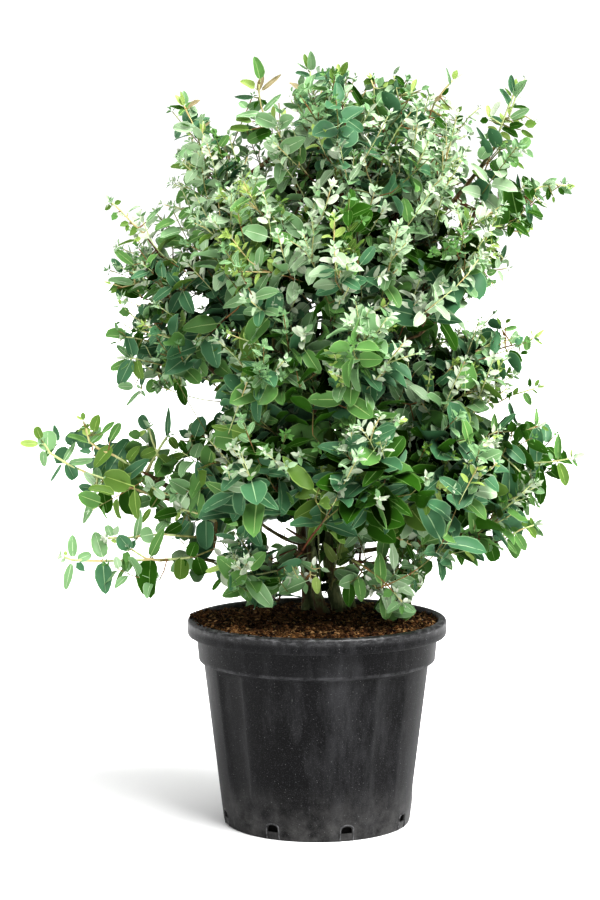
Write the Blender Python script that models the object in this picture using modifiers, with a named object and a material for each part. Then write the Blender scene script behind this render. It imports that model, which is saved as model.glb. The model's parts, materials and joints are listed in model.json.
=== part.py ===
"""Potted cider gum: a many-stemmed shrub in a round nursery container.

Metres, +Z up. The origin is the middle of the pot's flat underside and the
picture side is -Y. Limbs and foliage masses are worked out from the named
sizes and the tables below; neighbouring masses part along flat faces with a
narrow gap, and every limb has a clear socket where it enters a mass.
"""

import math

import bmesh
import bpy
from mathutils import Matrix, Vector, noise

# ---------------------------------------------------------------- pot sizes
POT_HEIGHT = 0.3167
RIM_RADIUS = 0.2000
RIM_DROP = 0.0244  # height of the turned-down rim
RIM_MOUTH = 0.1868  # inner edge of the rim
COLLAR_TOP_RADIUS = 0.1858
COLLAR_FOOT_RADIUS = 0.1816
COLLAR_FOOT_Z = 0.2528
BODY_TOP_RADIUS = 0.1752
BASE_RADIUS = 0.1441
WALL = 0.0026
FLOOR = 0.0034
STEPS = 40  # facets round the pot and the compost

FLUTES = 8  # shallow upright hollows, midway between the drainage slots
FLUTE_FIRST = math.radians(-5.0)  # from the front, towards +X
FLUTE_HALF = math.radians(9.0)
FLUTE_DEPTH = 0.0048
FLUTE_TOP_Z = 0.2440
FLUTE_FOOT_Z = 0.0420
FLUTE_RUN_OUT = 0.0100

SLOT_FIRST = math.radians(17.5)
SLOT_WIDTH = 0.0250
SLOT_FOOT_Z = 0.0050
SLOT_TOP_Z = 0.0250

# ------------------------------------------------------------ compost sizes
GAP = 0.0004
SOIL_LEVEL = 0.3080  # flat patch round the stems
SOIL_PATCH = Vector((0.012, 0.068))
SOIL_PATCH_RADIUS = 0.052
SOIL_BACK_Z = 0.3030
SOIL_FRONT_Z = 0.3118
SOIL_LEFT_Z = 0.3140

# ------------------------------------------------------------- limb sizes
STEM_SIDES = 8
BOUGH_SIDES = 6
FLARE = 1.55  # stem radius at the compost, against just above the flare
FLARE_HEIGHT = 0.030
LIMB_GAP = 0.0006
ENTRY = 0.022  # how far a bough reaches into its mass

# name: (radius above the flare, radius at the tip, axis from the foot up)
STEMS = {
    "stem_left": (
        0.0078,
        0.0036,
        [
            (-0.014, 0.088, SOIL_LEVEL),
            (-0.017, 0.084, 0.370),
            (-0.026, 0.072, 0.451),
            (-0.052, 0.050, 0.575),
            (-0.088, 0.028, 0.730),
            (-0.112, 0.018, 0.880),
        ],
    ),
    "stem_middle": (
        0.0070,
        0.0034,
        [
            (0.010, 0.047, SOIL_LEVEL),
            (-0.001, 0.040, 0.356),
            (-0.009, 0.030, 0.430),
            (-0.004, 0.006, 0.590),
            (0.010, -0.020, 0.760),
            (0.020, -0.020, 0.930),
        ],
    ),
    "stem_right": (
        0.0098,
        0.0040,
        [
            (0.039, 0.074, SOIL_LEVEL),
            (0.025, 0.067, 0.356),
            (0.018, 0.058, 0.445),
            (0.044, 0.050, 0.590),
            (0.096, 0.036, 0.750),
            (0.140, 0.026, 0.930),
        ],
    ),
    "stem_thin": (
        0.0040,
        0.0026,
        [
            (0.057, 0.102, SOIL_LEVEL),
            (0.056, 0.106, 0.374),
            (0.053, 0.112, 0.441),
            (0.056, 0.118, 0.540),
        ],
    ),
}

# name: (stem it leaves, height it leaves at, mass it enters, foot radius)
BOUGHS = {
    "bough_low_arm": ("stem_left", 0.395, "low_arm", 0.0042),
    "bough_left_arm": ("stem_left", 0.470, "left_arm", 0.0050),
    "bough_left_middle": ("stem_left", 0.640, "left_middle", 0.0046),
    "bough_left_shoulder": ("stem_left", 0.790, "left_shoulder", 0.0042),
    "bough_top_left": ("stem_left", 0.860, "top_left", 0.0036),
    "bough_skirt_left": ("stem_middle", 0.366, "skirt_left", 0.0034),
    "bough_lower_left": ("stem_middle", 0.500, "lower_left_front", 0.0040),
    "bough_lower_front": ("stem_middle", 0.540, "lower_front", 0.0042),
    "bough_middle_front": ("stem_middle", 0.670, "middle_front", 0.0042),
    "bough_upper_front": ("stem_middle", 0.830, "upper_front", 0.0038),
    "bough_skirt_right": ("stem_right", 0.372, "skirt_right", 0.0036),
    "bough_right_skirt": ("stem_right", 0.410, "right_skirt", 0.0046),
    "bough_right_low": ("stem_right", 0.510, "right_low", 0.0054),
    "bough_right_middle": ("stem_right", 0.650, "right_middle", 0.0050),
    "bough_upper_right": ("stem_right", 0.800, "upper_right_front", 0.0044),
    "bough_top_right": ("stem_right", 0.880, "top_right_tip", 0.0040),
    "bough_back_right": ("stem_right", 0.700, "upper_right_back", 0.0042),
    "bough_back_left": ("stem_left", 0.680, "upper_left_back", 0.0042),
    "bough_inner_left": ("stem_left", 0.420, "low_left_inner", 0.0036),
}

# ------------------------------------------------------------- mass sizes
UNEVEN = 0.15  # greatest swell or hollow, against the local radius
LUMPS = 1.7  # lumps across a mass
MASS_GAP = 0.0016
SMALLEST_EDGE = 0.0065

# name: (middle, half sizes across, front to back and up, lean to +X in degrees)
MASSES = {
    "top_left": ((-0.151, -0.020, 1.013), (0.070, 0.118, 0.073), -10),
    "top_left_tip": ((-0.082, 0.010, 1.113), (0.021, 0.034, 0.061), 4),
    "top_front": ((0.011, -0.100, 1.045), (0.086, 0.120, 0.089), 0),
    "top_back": ((0.039, 0.110, 1.080), (0.085, 0.125, 0.082), 5),
    "top_right_front": ((0.158, -0.100, 1.028), (0.082, 0.115, 0.080), 0),
    "top_right_back": ((0.168, 0.120, 1.061), (0.085, 0.120, 0.085), 0),
    "top_right_tip": ((0.289, 0.000, 1.059), (0.041, 0.078, 0.084), 12),
    "left_shoulder": ((-0.233, 0.000, 0.881), (0.082, 0.122, 0.070), -12),
    "upper_left_front": ((-0.090, -0.150, 0.919), (0.091, 0.120, 0.085), 0),
    "upper_front": ((0.043, -0.190, 0.896), (0.089, 0.112, 0.084), 0),
    "upper_right_front": ((0.191, -0.120, 0.899), (0.094, 0.120, 0.088), 0),
    "upper_left_back": ((-0.114, 0.172, 0.912), (0.110, 0.125, 0.096), 0),
    "upper_right_back": ((0.146, 0.186, 0.900), (0.118, 0.118, 0.094), 0),
    "right_spray": ((0.322, -0.010, 0.968), (0.062, 0.036, 0.023), 74),
    "left_middle": ((-0.237, 0.000, 0.753), (0.079, 0.120, 0.079), 0),
    "middle_left_front": ((-0.090, -0.160, 0.754), (0.087, 0.115, 0.082), 0),
    "middle_front": ((0.049, -0.200, 0.744), (0.092, 0.102, 0.086), 0),
    "right_middle": ((0.244, -0.020, 0.712), (0.091, 0.128, 0.070), 0),
    "middle_left_back": ((-0.110, 0.184, 0.734), (0.104, 0.120, 0.092), 0),
    "middle_right_back": ((0.128, 0.194, 0.722), (0.120, 0.118, 0.092), 0),
    "lower_left_front": ((-0.082, -0.150, 0.604), (0.093, 0.120, 0.085), 0),
    "lower_front": ((0.055, -0.190, 0.590), (0.089, 0.108, 0.082), 0),
    "lower_right_front": ((0.199, -0.110, 0.592), (0.089, 0.120, 0.083), 0),
    "right_low": ((0.295, 0.000, 0.548), (0.072, 0.092, 0.064), 0),
    "lower_left_back": ((-0.094, 0.182, 0.565), (0.100, 0.116, 0.080), 0),
    "lower_right_back": ((0.142, 0.180, 0.536), (0.119, 0.118, 0.087), 0),
    "left_arm": ((-0.247, -0.030, 0.542), (0.100, 0.080, 0.067), -84),
    "left_arm_tip": ((-0.385, -0.030, 0.583), (0.070, 0.048, 0.036), -84),
    "low_arm": ((-0.253, -0.060, 0.425), (0.081, 0.070, 0.051), -90),
    "low_arm_tip": ((-0.356, -0.060, 0.409), (0.051, 0.045, 0.036), -96),
    "skirt_left": ((-0.095, -0.120, 0.413), (0.074, 0.080, 0.053), -90),
    "skirt_right": ((0.098, -0.070, 0.388), (0.060, 0.070, 0.057), 0),
    "right_tip": ((0.366, 0.000, 0.562), (0.043, 0.035, 0.023), 80),
    "low_left_inner": ((-0.125, 0.000, 0.488), (0.070, 0.080, 0.037), -90),
    "right_skirt": ((0.208, 0.000, 0.446), (0.101, 0.092, 0.047), 90),
}


# ------------------------------------------------------------------ helpers
def clear_scene():
    for obj in list(bpy.data.objects):
        bpy.data.objects.remove(obj, do_unlink=True)


def collection(name, helper=False):
    made = bpy.data.collections.new(name)
    bpy.context.scene.collection.children.link(made)
    made.hide_render = helper
    return made


def material(name, colour, roughness):
    made = bpy.data.materials.new(name)
    made.use_nodes = True
    shader = made.node_tree.nodes["Principled BSDF"]
    shader.inputs["Base Color"].default_value = (*colour, 1.0)
    shader.inputs["Roughness"].default_value = roughness
    shader.inputs["Metallic"].default_value = 0.0
    return made


def add(name, mesh, home, mat=None):
    obj = bpy.data.objects.new(name, mesh)
    home.objects.link(obj)
    if mat is not None:
        mesh.materials.clear()
        mesh.materials.append(mat)
    if home.hide_render:
        obj.hide_render = True
        obj.display_type = "WIRE"
    return obj


def settle(obj):
    """Give the object the mesh its modifiers make."""
    graph = bpy.context.evaluated_depsgraph_get()
    mesh = bpy.data.meshes.new_from_object(obj.evaluated_get(graph))
    obj.modifiers.clear()
    if obj.type == "MESH":
        obj.data = mesh
        return obj
    name, home = obj.name, obj.users_collection[0]
    bpy.data.objects.remove(obj, do_unlink=True)
    return add(name, mesh, home)


def tidy(mesh, near, flatten=False):
    """Weld close points and split every face into triangles."""
    bm = bmesh.new()
    bm.from_mesh(mesh)
    bmesh.ops.remove_doubles(bm, verts=bm.verts, dist=near)
    bmesh.ops.dissolve_degenerate(bm, edges=bm.edges, dist=near / 4)
    if flatten:
        bmesh.ops.triangulate(bm, faces=bm.faces)
    bmesh.ops.recalc_face_normals(bm, faces=bm.faces)
    bm.to_mesh(mesh)
    bm.free()


def cut(obj, cutter, operation="DIFFERENCE"):
    step = obj.modifiers.new(operation.lower(), "BOOLEAN")
    step.operation = operation
    step.solver = "EXACT"
    step.object = cutter


def smooth(obj, degrees):
    for face in obj.data.polygons:
        face.use_smooth = True
    obj.data.set_sharp_from_angle(angle=math.radians(degrees))


# ---------------------------------------------------------------------- pot
def body_radius(z):
    """Outer radius of the plain tapering body at height z."""
    top = COLLAR_FOOT_Z - 0.0013
    return BASE_RADIUS + (BODY_TOP_RADIUS - BASE_RADIUS) * z / top


def flute_press(angle, z):
    """How far the wall is pressed in at this place."""
    pitch = 2 * math.pi / FLUTES
    off = (angle - FLUTE_FIRST + pitch / 2) % pitch - pitch / 2
    across = max(0.0, 1 - (off / FLUTE_HALF) ** 2) ** 0.5
    if z < FLUTE_FOOT_Z + 0.001 or z > FLUTE_TOP_Z - 0.001:
        return 0.0
    return FLUTE_DEPTH * across


def front_angle(x, y):
    """Angle from the front (-Y) towards +X."""
    return math.atan2(x, -y)


def revolve(name, profile, home, mat):
    mesh = bpy.data.meshes.new(name)
    mesh.from_pydata(
        [(r, 0.0, z) for r, z in profile],
        [(i, i + 1) for i in range(len(profile) - 1)],
        [],
    )
    obj = add(name, mesh, home, mat)
    turn = obj.modifiers.new("turn", "SCREW")
    turn.axis = "Z"
    turn.angle = 2 * math.pi
    turn.steps = turn.render_steps = STEPS
    turn.use_merge_vertices = True
    turn.merge_threshold = 0.00005
    settle(obj)
    tidy(obj.data, 0.00005)
    return obj


def press_flutes(obj):
    for vert in obj.data.vertices:
        x, y, z = vert.co
        r = math.hypot(x, y)
        if r > 0.05:
            k = (r - flute_press(front_angle(x, y), z)) / r
            vert.co = (x * k, y * k, z)


FLUTE_LEVELS = (
    FLUTE_FOOT_Z,
    FLUTE_FOOT_Z + FLUTE_RUN_OUT,
    FLUTE_TOP_Z - FLUTE_RUN_OUT,
    FLUTE_TOP_Z,
)


def arch(width, foot, top, inner, outer, angle, home, name):
    """An upright plate with a round top, bent round the wall's foot. inner and
    outer give its two radii at a height."""
    half = width / 2
    spring = top - half * 0.55
    levels = [(half, foot), (half, spring)]
    for k in (1, 2, 3):
        turn = math.pi * k / 6
        levels.append((half * math.cos(turn), spring + (top - spring) * math.sin(turn)))
    levels[-1] = (0.0, top)
    bm = bmesh.new()
    rows = []
    for u, z in levels:
        row = []
        for radius in (outer(z), inner(z)):
            for side in (-1, 1) if u else (1,):
                turn = angle + side * u / body_radius(z)
                place = (radius * math.sin(turn), -radius * math.cos(turn), z)
                row.append(bm.verts.new(place))
        rows.append(row)
    for low, high in zip(rows, rows[1:]):
        if len(high) == 4:
            for a, b in ((0, 1), (1, 3), (3, 2), (2, 0)):
                bm.faces.new((low[a], low[b], high[b], high[a]))
            continue
        bm.faces.new((low[0], low[1], high[0]))
        bm.faces.new((low[3], low[2], high[1]))
        bm.faces.new((low[1], low[3], high[1], high[0]))
        bm.faces.new((low[2], low[0], high[0], high[1]))
    first = rows[0]
    bm.faces.new((first[1], first[0], first[2], first[3]))
    bmesh.ops.triangulate(bm, faces=bm.faces)
    bmesh.ops.recalc_face_normals(bm, faces=bm.faces)
    mesh = bpy.data.meshes.new(name)
    bm.to_mesh(mesh)
    bm.free()
    return add(name, mesh, home)


def make_pot(home, cutters, mat):
    rim_foot = POT_HEIGHT - RIM_DROP
    skirt = RIM_RADIUS - WALL
    outer = [
        (RIM_MOUTH + 0.0004, POT_HEIGHT),
        (RIM_RADIUS - 0.0032, POT_HEIGHT),
        (RIM_RADIUS, POT_HEIGHT - 0.0046),
        (RIM_RADIUS, rim_foot + 0.0010),
        (skirt, rim_foot),
        (skirt - 0.0010, POT_HEIGHT - 0.0042),
        (COLLAR_TOP_RADIUS + 0.0022, POT_HEIGHT - 0.0042),
        (COLLAR_TOP_RADIUS, rim_foot),
        (COLLAR_FOOT_RADIUS, COLLAR_FOOT_Z + 0.0016),
        (COLLAR_FOOT_RADIUS - 0.0012, COLLAR_FOOT_Z),
        (BODY_TOP_RADIUS, COLLAR_FOOT_Z - 0.0013),
    ]
    outer += [(body_radius(z), z) for z in reversed(FLUTE_LEVELS)]
    outer += [(body_radius(0.0016), 0.0016), (BASE_RADIUS - 0.0016, 0.0), (0.0, 0.0)]
    inner = [(0.0, FLOOR), (body_radius(FLOOR) - WALL - 0.0004, FLOOR)]
    inner += [(body_radius(z) - WALL, z) for z in FLUTE_LEVELS]
    inner += [
        (BODY_TOP_RADIUS - WALL, COLLAR_FOOT_Z + 0.0005),
        (COLLAR_FOOT_RADIUS - WALL - 0.0006, COLLAR_FOOT_Z + 0.0032),
        (COLLAR_TOP_RADIUS - WALL, rim_foot + 0.0010),
    ]
    pot = revolve("pot", inner + outer, home, mat)
    press_flutes(pot)

    pitch = 2 * math.pi / FLUTES
    for k in range(FLUTES):
        slot = arch(
            SLOT_WIDTH,
            SLOT_FOOT_Z,
            SLOT_TOP_Z,
            lambda z: body_radius(z) - 0.014,
            lambda z: body_radius(z) + 0.014,
            SLOT_FIRST + k * pitch,
            cutters,
            f"slot_{k}",
        )
        cut(pot, slot)
    settle(pot)
    smooth(pot, 32)
    return pot


# ------------------------------------------------------------------ compost
def soil_height(x, y):
    """Uneven top of the compost, flat round the stems' feet."""
    reach = RIM_MOUTH
    across = y / reach
    z = SOIL_FRONT_Z + (SOIL_BACK_Z - SOIL_FRONT_Z) * (across + 1) / 2
    left = max(0.0, -x / reach - 0.55) / 0.45
    z += (SOIL_LEFT_Z - SOIL_FRONT_Z + 0.004) * left * max(0.0, 1 - abs(across))
    z += 0.0022 * noise.noise(Vector((x * 26, y * 26, 3.1)))
    away = (Vector((x, y)) - SOIL_PATCH).length
    blend = min(1.0, max(0.0, (away - SOIL_PATCH_RADIUS) / 0.03))
    return SOIL_LEVEL + (z - SOIL_LEVEL) * blend


def make_soil(home, mat):
    clear = WALL + 2 * GAP  # along the wall; GAP alone under the compost
    levels = [
        (body_radius(FLOOR) - clear - 0.0010, FLOOR + GAP),
        (body_radius(FLUTE_FOOT_Z) - clear, FLUTE_FOOT_Z),
        (body_radius(FLUTE_TOP_Z) - clear, FLUTE_TOP_Z),
        (BODY_TOP_RADIUS - clear - 0.0006, COLLAR_FOOT_Z + 0.0020),
        (COLLAR_FOOT_RADIUS - clear - 0.0012, COLLAR_FOOT_Z + 0.0052),
    ]
    bm = bmesh.new()

    def ring(radius, z, count, pressed=False):
        made = []
        for k in range(count):
            a = 2 * math.pi * k / count
            x, y = radius * math.cos(a), radius * math.sin(a)
            if pressed:
                deepest = flute_press(front_angle(x, y), POT_HEIGHT / 2)
                s = (radius - deepest) / radius
                x, y = x * s, y * s
            made.append(bm.verts.new((x, y, soil_height(x, y) if z is None else z)))
        return made

    def bridge(low, high):
        """Join two rings whose counts are equal or two to one."""
        n, m = len(low), len(high)
        for k in range(m):
            if n == m:
                bm.faces.new((low[k], low[(k + 1) % n], high[(k + 1) % m], high[k]))
                continue
            a, b, c = low[2 * k], low[2 * k + 1], low[(2 * k + 2) % n]
            bm.faces.new((a, b, high[k]))
            bm.faces.new((b, high[(k + 1) % m], high[k]))
            bm.faces.new((b, c, high[(k + 1) % m]))

    rings = [ring(r, z, STEPS, z in (FLUTE_FOOT_Z, FLUTE_TOP_Z)) for r, z in levels]
    edge = COLLAR_TOP_RADIUS - clear - 0.0006
    rings.append(ring(edge, None, STEPS))
    rings.append(ring(0.152, None, STEPS // 2))
    rings.append(ring(0.104, None, STEPS // 4))
    rings.append(ring(0.052, None, STEPS // 8))
    for low, high in zip(rings, rings[1:]):
        bridge(low, high)
    for cap, z in ((rings[0], FLOOR + GAP), (rings[-1], None)):
        middle = bm.verts.new((0, 0, soil_height(0, 0) if z is None else z))
        for k in range(len(cap)):
            bm.faces.new((cap[k], cap[(k + 1) % len(cap)], middle))
    bmesh.ops.triangulate(bm, faces=bm.faces)
    bmesh.ops.recalc_face_normals(bm, faces=bm.faces)
    mesh = bpy.data.meshes.new("soil")
    bm.to_mesh(mesh)
    bm.free()
    soil = add("soil", mesh, home, mat)
    smooth(soil, 40)
    return soil


# -------------------------------------------------------------------- limbs
def along(points, t):
    """Point at share t of a smooth line through the points."""
    last = len(points) - 1
    k = min(int(t * last), last - 1)
    u = t * last - k
    p = [Vector(points[min(max(k + i, 0), last)]) for i in (-1, 0, 1, 2)]
    a, b = (p[2] - p[0]) / 2, (p[3] - p[1]) / 2
    return (
        p[1] * (2 * u**3 - 3 * u**2 + 1)
        + a * (u**3 - 2 * u**2 + u)
        + p[2] * (3 * u**2 - 2 * u**3)
        + b * (u**3 - u**2)
    )


def tube(name, axis, radii, sides, home, mat=None):
    """A tapering limb: a curve with a round section and closed ends."""
    curve = bpy.data.curves.new(name, "CURVE")
    curve.dimensions = "3D"
    curve.bevel_depth = 1.0
    curve.bevel_resolution = (sides - 4) // 2
    curve.use_fill_caps = True
    curve.twist_mode = "MINIMUM"
    line = curve.splines.new("POLY")
    line.points.add(len(axis) - 1)
    for point, place, radius in zip(line.points, axis, radii):
        point.co = (*place, 1.0)
        point.radius = radius
    obj = bpy.data.objects.new(name, curve)
    home.objects.link(obj)
    obj = settle(obj)
    tidy(obj.data, 0.00002, flatten=True)
    if mat is not None:
        obj.data.materials.clear()
        obj.data.materials.append(mat)
    return obj


def grown(axis, radii, gap, ends):
    """The same limb, thicker by the gap and longer by ends at foot and tip."""
    axis = [Vector(p) for p in axis]
    axis[0] = axis[0] + (axis[0] - axis[1]).normalized() * ends[0]
    axis[-1] = axis[-1] + (axis[-1] - axis[-2]).normalized() * ends[1]
    return axis, [r + gap for r in radii]


def stem_line(name):
    radius, tip, points = STEMS[name]
    foot = Vector(points[0])
    axis, radii = [foot, foot + Vector((0, 0, 0.006))], [radius * FLARE] * 2
    radii[1] = radius * (1 + (FLARE - 1) * 0.62)
    count = 2 * (len(points) - 1)
    for k in range(1, count + 1):
        t = k / count
        place = along(points, t)
        if place.z - foot.z < 0.014:
            continue
        rise = min(1.0, (place.z - foot.z) / FLARE_HEIGHT)
        axis.append(place)
        radii.append(
            (radius + (tip - radius) * t) * (1 + (FLARE - 1) * 0.3 * (1 - rise))
        )
    axis[0] = axis[0] + Vector((0, 0, 0.0003))
    return axis, radii


def at_height(axis, z):
    for low, high in zip(axis, axis[1:]):
        if low.z <= z <= high.z:
            return low.lerp(high, (z - low.z) / (high.z - low.z))
    return axis[-1].copy()


# ------------------------------------------------------------------- masses
def mass_frame(name):
    middle, half, lean = MASSES[name]
    lean = math.radians(lean)
    # A strong lean lays the long side over, so the half sizes stay as given
    # across and up while the poles point along the spray.
    turn = Matrix.Rotation(lean, 3, "Y")
    return Vector(middle), half, turn


def radius_towards(name, way):
    """Distance from a mass's middle to its even surface in this direction."""
    _, half, _ = mass_frame(name)
    way = way.normalized()
    return 1 / math.sqrt(sum((w / h) ** 2 for w, h in zip(way, half)))


def swell(name, way):
    """Unevenness of a mass in this direction, from a seed of its own."""
    seed = sum(ord(letter) * (place + 3) for place, letter in enumerate(name)) % 97
    at = way * LUMPS + Vector((seed * 1.37, seed * 0.61, seed * 2.11))
    return 1 + UNEVEN * max(-1.0, min(1.0, 1.8 * noise.noise(at)))


def surface_points(name, factor=1.0):
    middle, half, turn = mass_frame(name)
    small = half[0] * half[1] * half[2] < 0.0008
    across, up = (8, 6) if small else (9, 7)
    bm = bmesh.new()
    bmesh.ops.create_uvsphere(bm, u_segments=across, v_segments=up, radius=1.0)
    for vert in bm.verts:
        way = (turn @ vert.co).normalized()
        reach = radius_towards(name, way) * swell(name, way) * factor
        vert.co = middle + way * reach
    return bm


def parting(one, other):
    """A plane between two masses: a point on it and the way towards other."""
    a, half_a, _ = mass_frame(one)
    b, half_b, _ = mass_frame(other)
    way = (b - a).normalized()
    reach_a, reach_b = radius_towards(one, way), radius_towards(other, way)
    place = a + (b - a) * reach_a / (reach_a + reach_b)
    up_a = Vector([(p - q) / h**2 for p, q, h in zip(place, a, half_a)])
    up_b = Vector([(p - q) / h**2 for p, q, h in zip(place, b, half_b)])
    return place, (up_a.normalized() - up_b.normalized()).normalized()


def near(one, other):
    """Whether the two masses would meet if they weren't parted."""
    for a, b in ((one, other), (other, one)):
        middle, half, _ = mass_frame(b)
        bm = surface_points(a, 1.04)
        reach = 0.0
        points = [v.co.copy() for v in bm.verts]
        points += [f.calc_center_median() for f in bm.faces]
        bm.free()
        for point in points:
            way = point - middle
            if way.length < radius_towards(b, way) * swell(b, way.normalized()) * 1.06:
                reach = 1.0
                break
        if reach:
            return True
    return False


def make_mass(name, home, mat):
    bm = surface_points(name)
    for other in MASSES:
        if other == name or not near(name, other):
            continue
        first, second = sorted((name, other))
        place, way = parting(first, second)
        if name == second:
            way = -way
        place = place - way * (MASS_GAP / 2)
        made = bmesh.ops.bisect_plane(
            bm,
            geom=list(bm.verts) + list(bm.edges) + list(bm.faces),
            dist=0.00001,
            plane_co=place,
            plane_no=way,
            clear_outer=True,
        )
        del made
        rim = [e for e in bm.edges if e.is_boundary]
        if rim:
            bmesh.ops.holes_fill(bm, edges=rim, sides=0)
    bmesh.ops.remove_doubles(bm, verts=bm.verts, dist=SMALLEST_EDGE)
    bmesh.ops.dissolve_degenerate(bm, edges=bm.edges, dist=0.0003)
    bmesh.ops.triangulate(bm, faces=bm.faces)
    bmesh.ops.recalc_face_normals(bm, faces=bm.faces)
    mesh = bpy.data.meshes.new(name)
    bm.to_mesh(mesh)
    bm.free()
    return add(name, mesh, home, mat)


def entry_point(start, mass):
    """Where a straight line from start meets a mass's uneven surface."""
    middle, _, _ = mass_frame(mass)
    way = start - middle
    reach = radius_towards(mass, way) * swell(mass, way.normalized())
    return middle + way.normalized() * min(reach, way.length)


def boxes_meet(one, other, slack=0.002):
    def box(obj):
        points = [v.co for v in obj.data.vertices]
        return [
            (min(p[i] for p in points) - slack, max(p[i] for p in points) + slack)
            for i in range(3)
        ]

    return all(a[0] < b[1] and b[0] < a[1] for a, b in zip(box(one), box(other)))


# -------------------------------------------------------------------- build
def main():
    clear_scene()
    home = collection("potted_cider_gum")
    cutters = collection("cutters", helper=True)

    make_pot(home, cutters, material("black_plastic", (0.020, 0.021, 0.023), 0.45))
    make_soil(home, material("brown_compost", (0.045, 0.026, 0.014), 0.95))

    stem_cutters, lines = {}, {}
    for name in STEMS:
        axis, radii = stem_line(name)
        lines[name] = (axis, radii)
        tube(name, axis, radii, STEM_SIDES, home, material(name, (0.12, 0.085, 0.05), 0.8))
        big, wide = grown(axis, radii, LIMB_GAP, (0.002, 0.002))
        stem_cutters[name] = tube(f"clear_{name}", big, wide, STEM_SIDES, cutters)

    bough_cutters, boughs = {}, {}
    for name, (stem, height, mass, radius) in BOUGHS.items():
        start = at_height(lines[stem][0], height)
        entry = entry_point(start, mass)
        middle, _, _ = mass_frame(mass)
        end = entry + (middle - entry).normalized() * ENTRY
        span = (end - start).length
        bend = start.lerp(end, 0.5) + Vector((0, 0, -0.06 * span))
        count = 4 if span > 0.20 else 3
        axis = [along([start, bend, end], k / count) for k in range(count + 1)]
        radii = [radius * (1 - 0.42 * k / count) for k in range(count + 1)]
        bough = tube(
            name, axis, radii, BOUGH_SIDES, home, material(name, (0.15, 0.11, 0.06), 0.8)
        )
        for stem_name, cutter in stem_cutters.items():
            if boxes_meet(bough, cutter):
                cut(bough, cutter)
        big, wide = grown(axis, radii, LIMB_GAP, (0.0, 0.002))
        bough_cutters[name] = tube(f"clear_{name}", big, wide, BOUGH_SIDES, cutters)
        boughs[name] = bough
    for bough in boughs.values():
        settle(bough)
        tidy(bough.data, 0.00004, flatten=True)
        smooth(bough, 50)
    for name in STEMS:
        smooth(bpy.data.objects[name], 50)

    for number, name in enumerate(MASSES):
        tone = 0.85 + 0.3 * ((number * 7) % 11) / 10
        mat = material(name, (0.13 * tone, 0.21 * tone, 0.13 * tone), 0.75)
        mass = make_mass(name, home, mat)
        used = False
        for cutter in [*stem_cutters.values(), *bough_cutters.values()]:
            if boxes_meet(mass, cutter):
                cut(mass, cutter)
                used = True
        if used:
            settle(mass)
            tidy(mass.data, 0.00004, flatten=True)


main()
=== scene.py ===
"""Looks of the potted cider gum: black nursery pot, peat compost, peeling
stems, and a crown of blue-green leaves grown from the limbs by a seeded rule.
Metres, +Z up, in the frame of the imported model."""

import json
import math

import bmesh
import bpy
import numpy as np
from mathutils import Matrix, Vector, noise
from mathutils.bvhtree import BVHTree

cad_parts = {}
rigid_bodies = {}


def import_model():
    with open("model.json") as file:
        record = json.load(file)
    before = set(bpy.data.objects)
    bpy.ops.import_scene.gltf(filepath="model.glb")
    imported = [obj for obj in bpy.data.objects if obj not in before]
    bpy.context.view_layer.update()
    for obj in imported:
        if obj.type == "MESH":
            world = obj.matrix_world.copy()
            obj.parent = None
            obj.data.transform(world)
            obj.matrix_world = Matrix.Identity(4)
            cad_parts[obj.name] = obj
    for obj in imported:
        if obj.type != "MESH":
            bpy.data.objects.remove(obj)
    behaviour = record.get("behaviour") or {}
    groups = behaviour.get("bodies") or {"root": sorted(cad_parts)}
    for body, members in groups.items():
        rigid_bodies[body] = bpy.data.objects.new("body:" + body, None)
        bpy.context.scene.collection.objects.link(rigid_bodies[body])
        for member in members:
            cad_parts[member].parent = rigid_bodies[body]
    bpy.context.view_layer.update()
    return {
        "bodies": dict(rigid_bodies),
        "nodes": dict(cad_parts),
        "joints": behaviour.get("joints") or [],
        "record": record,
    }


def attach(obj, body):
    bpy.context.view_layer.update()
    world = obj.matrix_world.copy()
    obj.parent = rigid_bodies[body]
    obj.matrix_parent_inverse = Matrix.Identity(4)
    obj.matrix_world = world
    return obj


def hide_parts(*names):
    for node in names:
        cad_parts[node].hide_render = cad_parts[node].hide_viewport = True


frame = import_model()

NODES = frame["nodes"]
SEED = 4207
UP = np.array((0.0, 0.0, 1.0))
FRONT = np.array((0.0, -1.0, 0.0))

# ------------------------------------------------------------- camera figures
EYE = np.array((-0.0262, -3.4534, 0.8955))
PITCH = math.radians(5.2945)
LENS = 90.47
FOCAL = LENS / 36.0 * 900  # in the photograph's 600 x 900 frame


def seen(px, py, y=0.0):
    """The point at depth y that shows at this place in that frame."""
    c, s = math.cos(PITCH), math.sin(PITCH)
    a, b = (px - 300) / FOCAL, (450 - py) / FOCAL
    ray = np.array((a, b * s + c, b * c - s))
    return EYE + ray * (y - EYE[1]) / ray[1]


def shown(points):
    """Where points show in that frame."""
    c, s = math.cos(PITCH), math.sin(PITCH)
    rel = np.asarray(points) - EYE
    forward = rel[..., 1] * c - rel[..., 2] * s
    up = rel[..., 1] * s + rel[..., 2] * c
    return 300 + FOCAL * rel[..., 0] / forward, 450 - FOCAL * up / forward


def unit(v):
    return v / max(math.sqrt(float(v @ v)), 1e-9)


# ------------------------------------------------------------------- materials
def srgb(r, g, b):
    def one(v):
        v /= 255
        return v / 12.92 if v <= 0.04045 else ((v + 0.055) / 1.055) ** 2.4

    return (one(r), one(g), one(b), 1.0)


def grey(v):
    return (v, v, v, 1.0)


def plain(name, colour, roughness, specular=0.5):
    mat = bpy.data.materials.new(name)
    mat.use_nodes = True
    shader = mat.node_tree.nodes["Principled BSDF"]
    shader.inputs["Base Color"].default_value = colour
    shader.inputs["Roughness"].default_value = roughness
    shader.inputs["Specular IOR Level"].default_value = specular
    return mat


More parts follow.
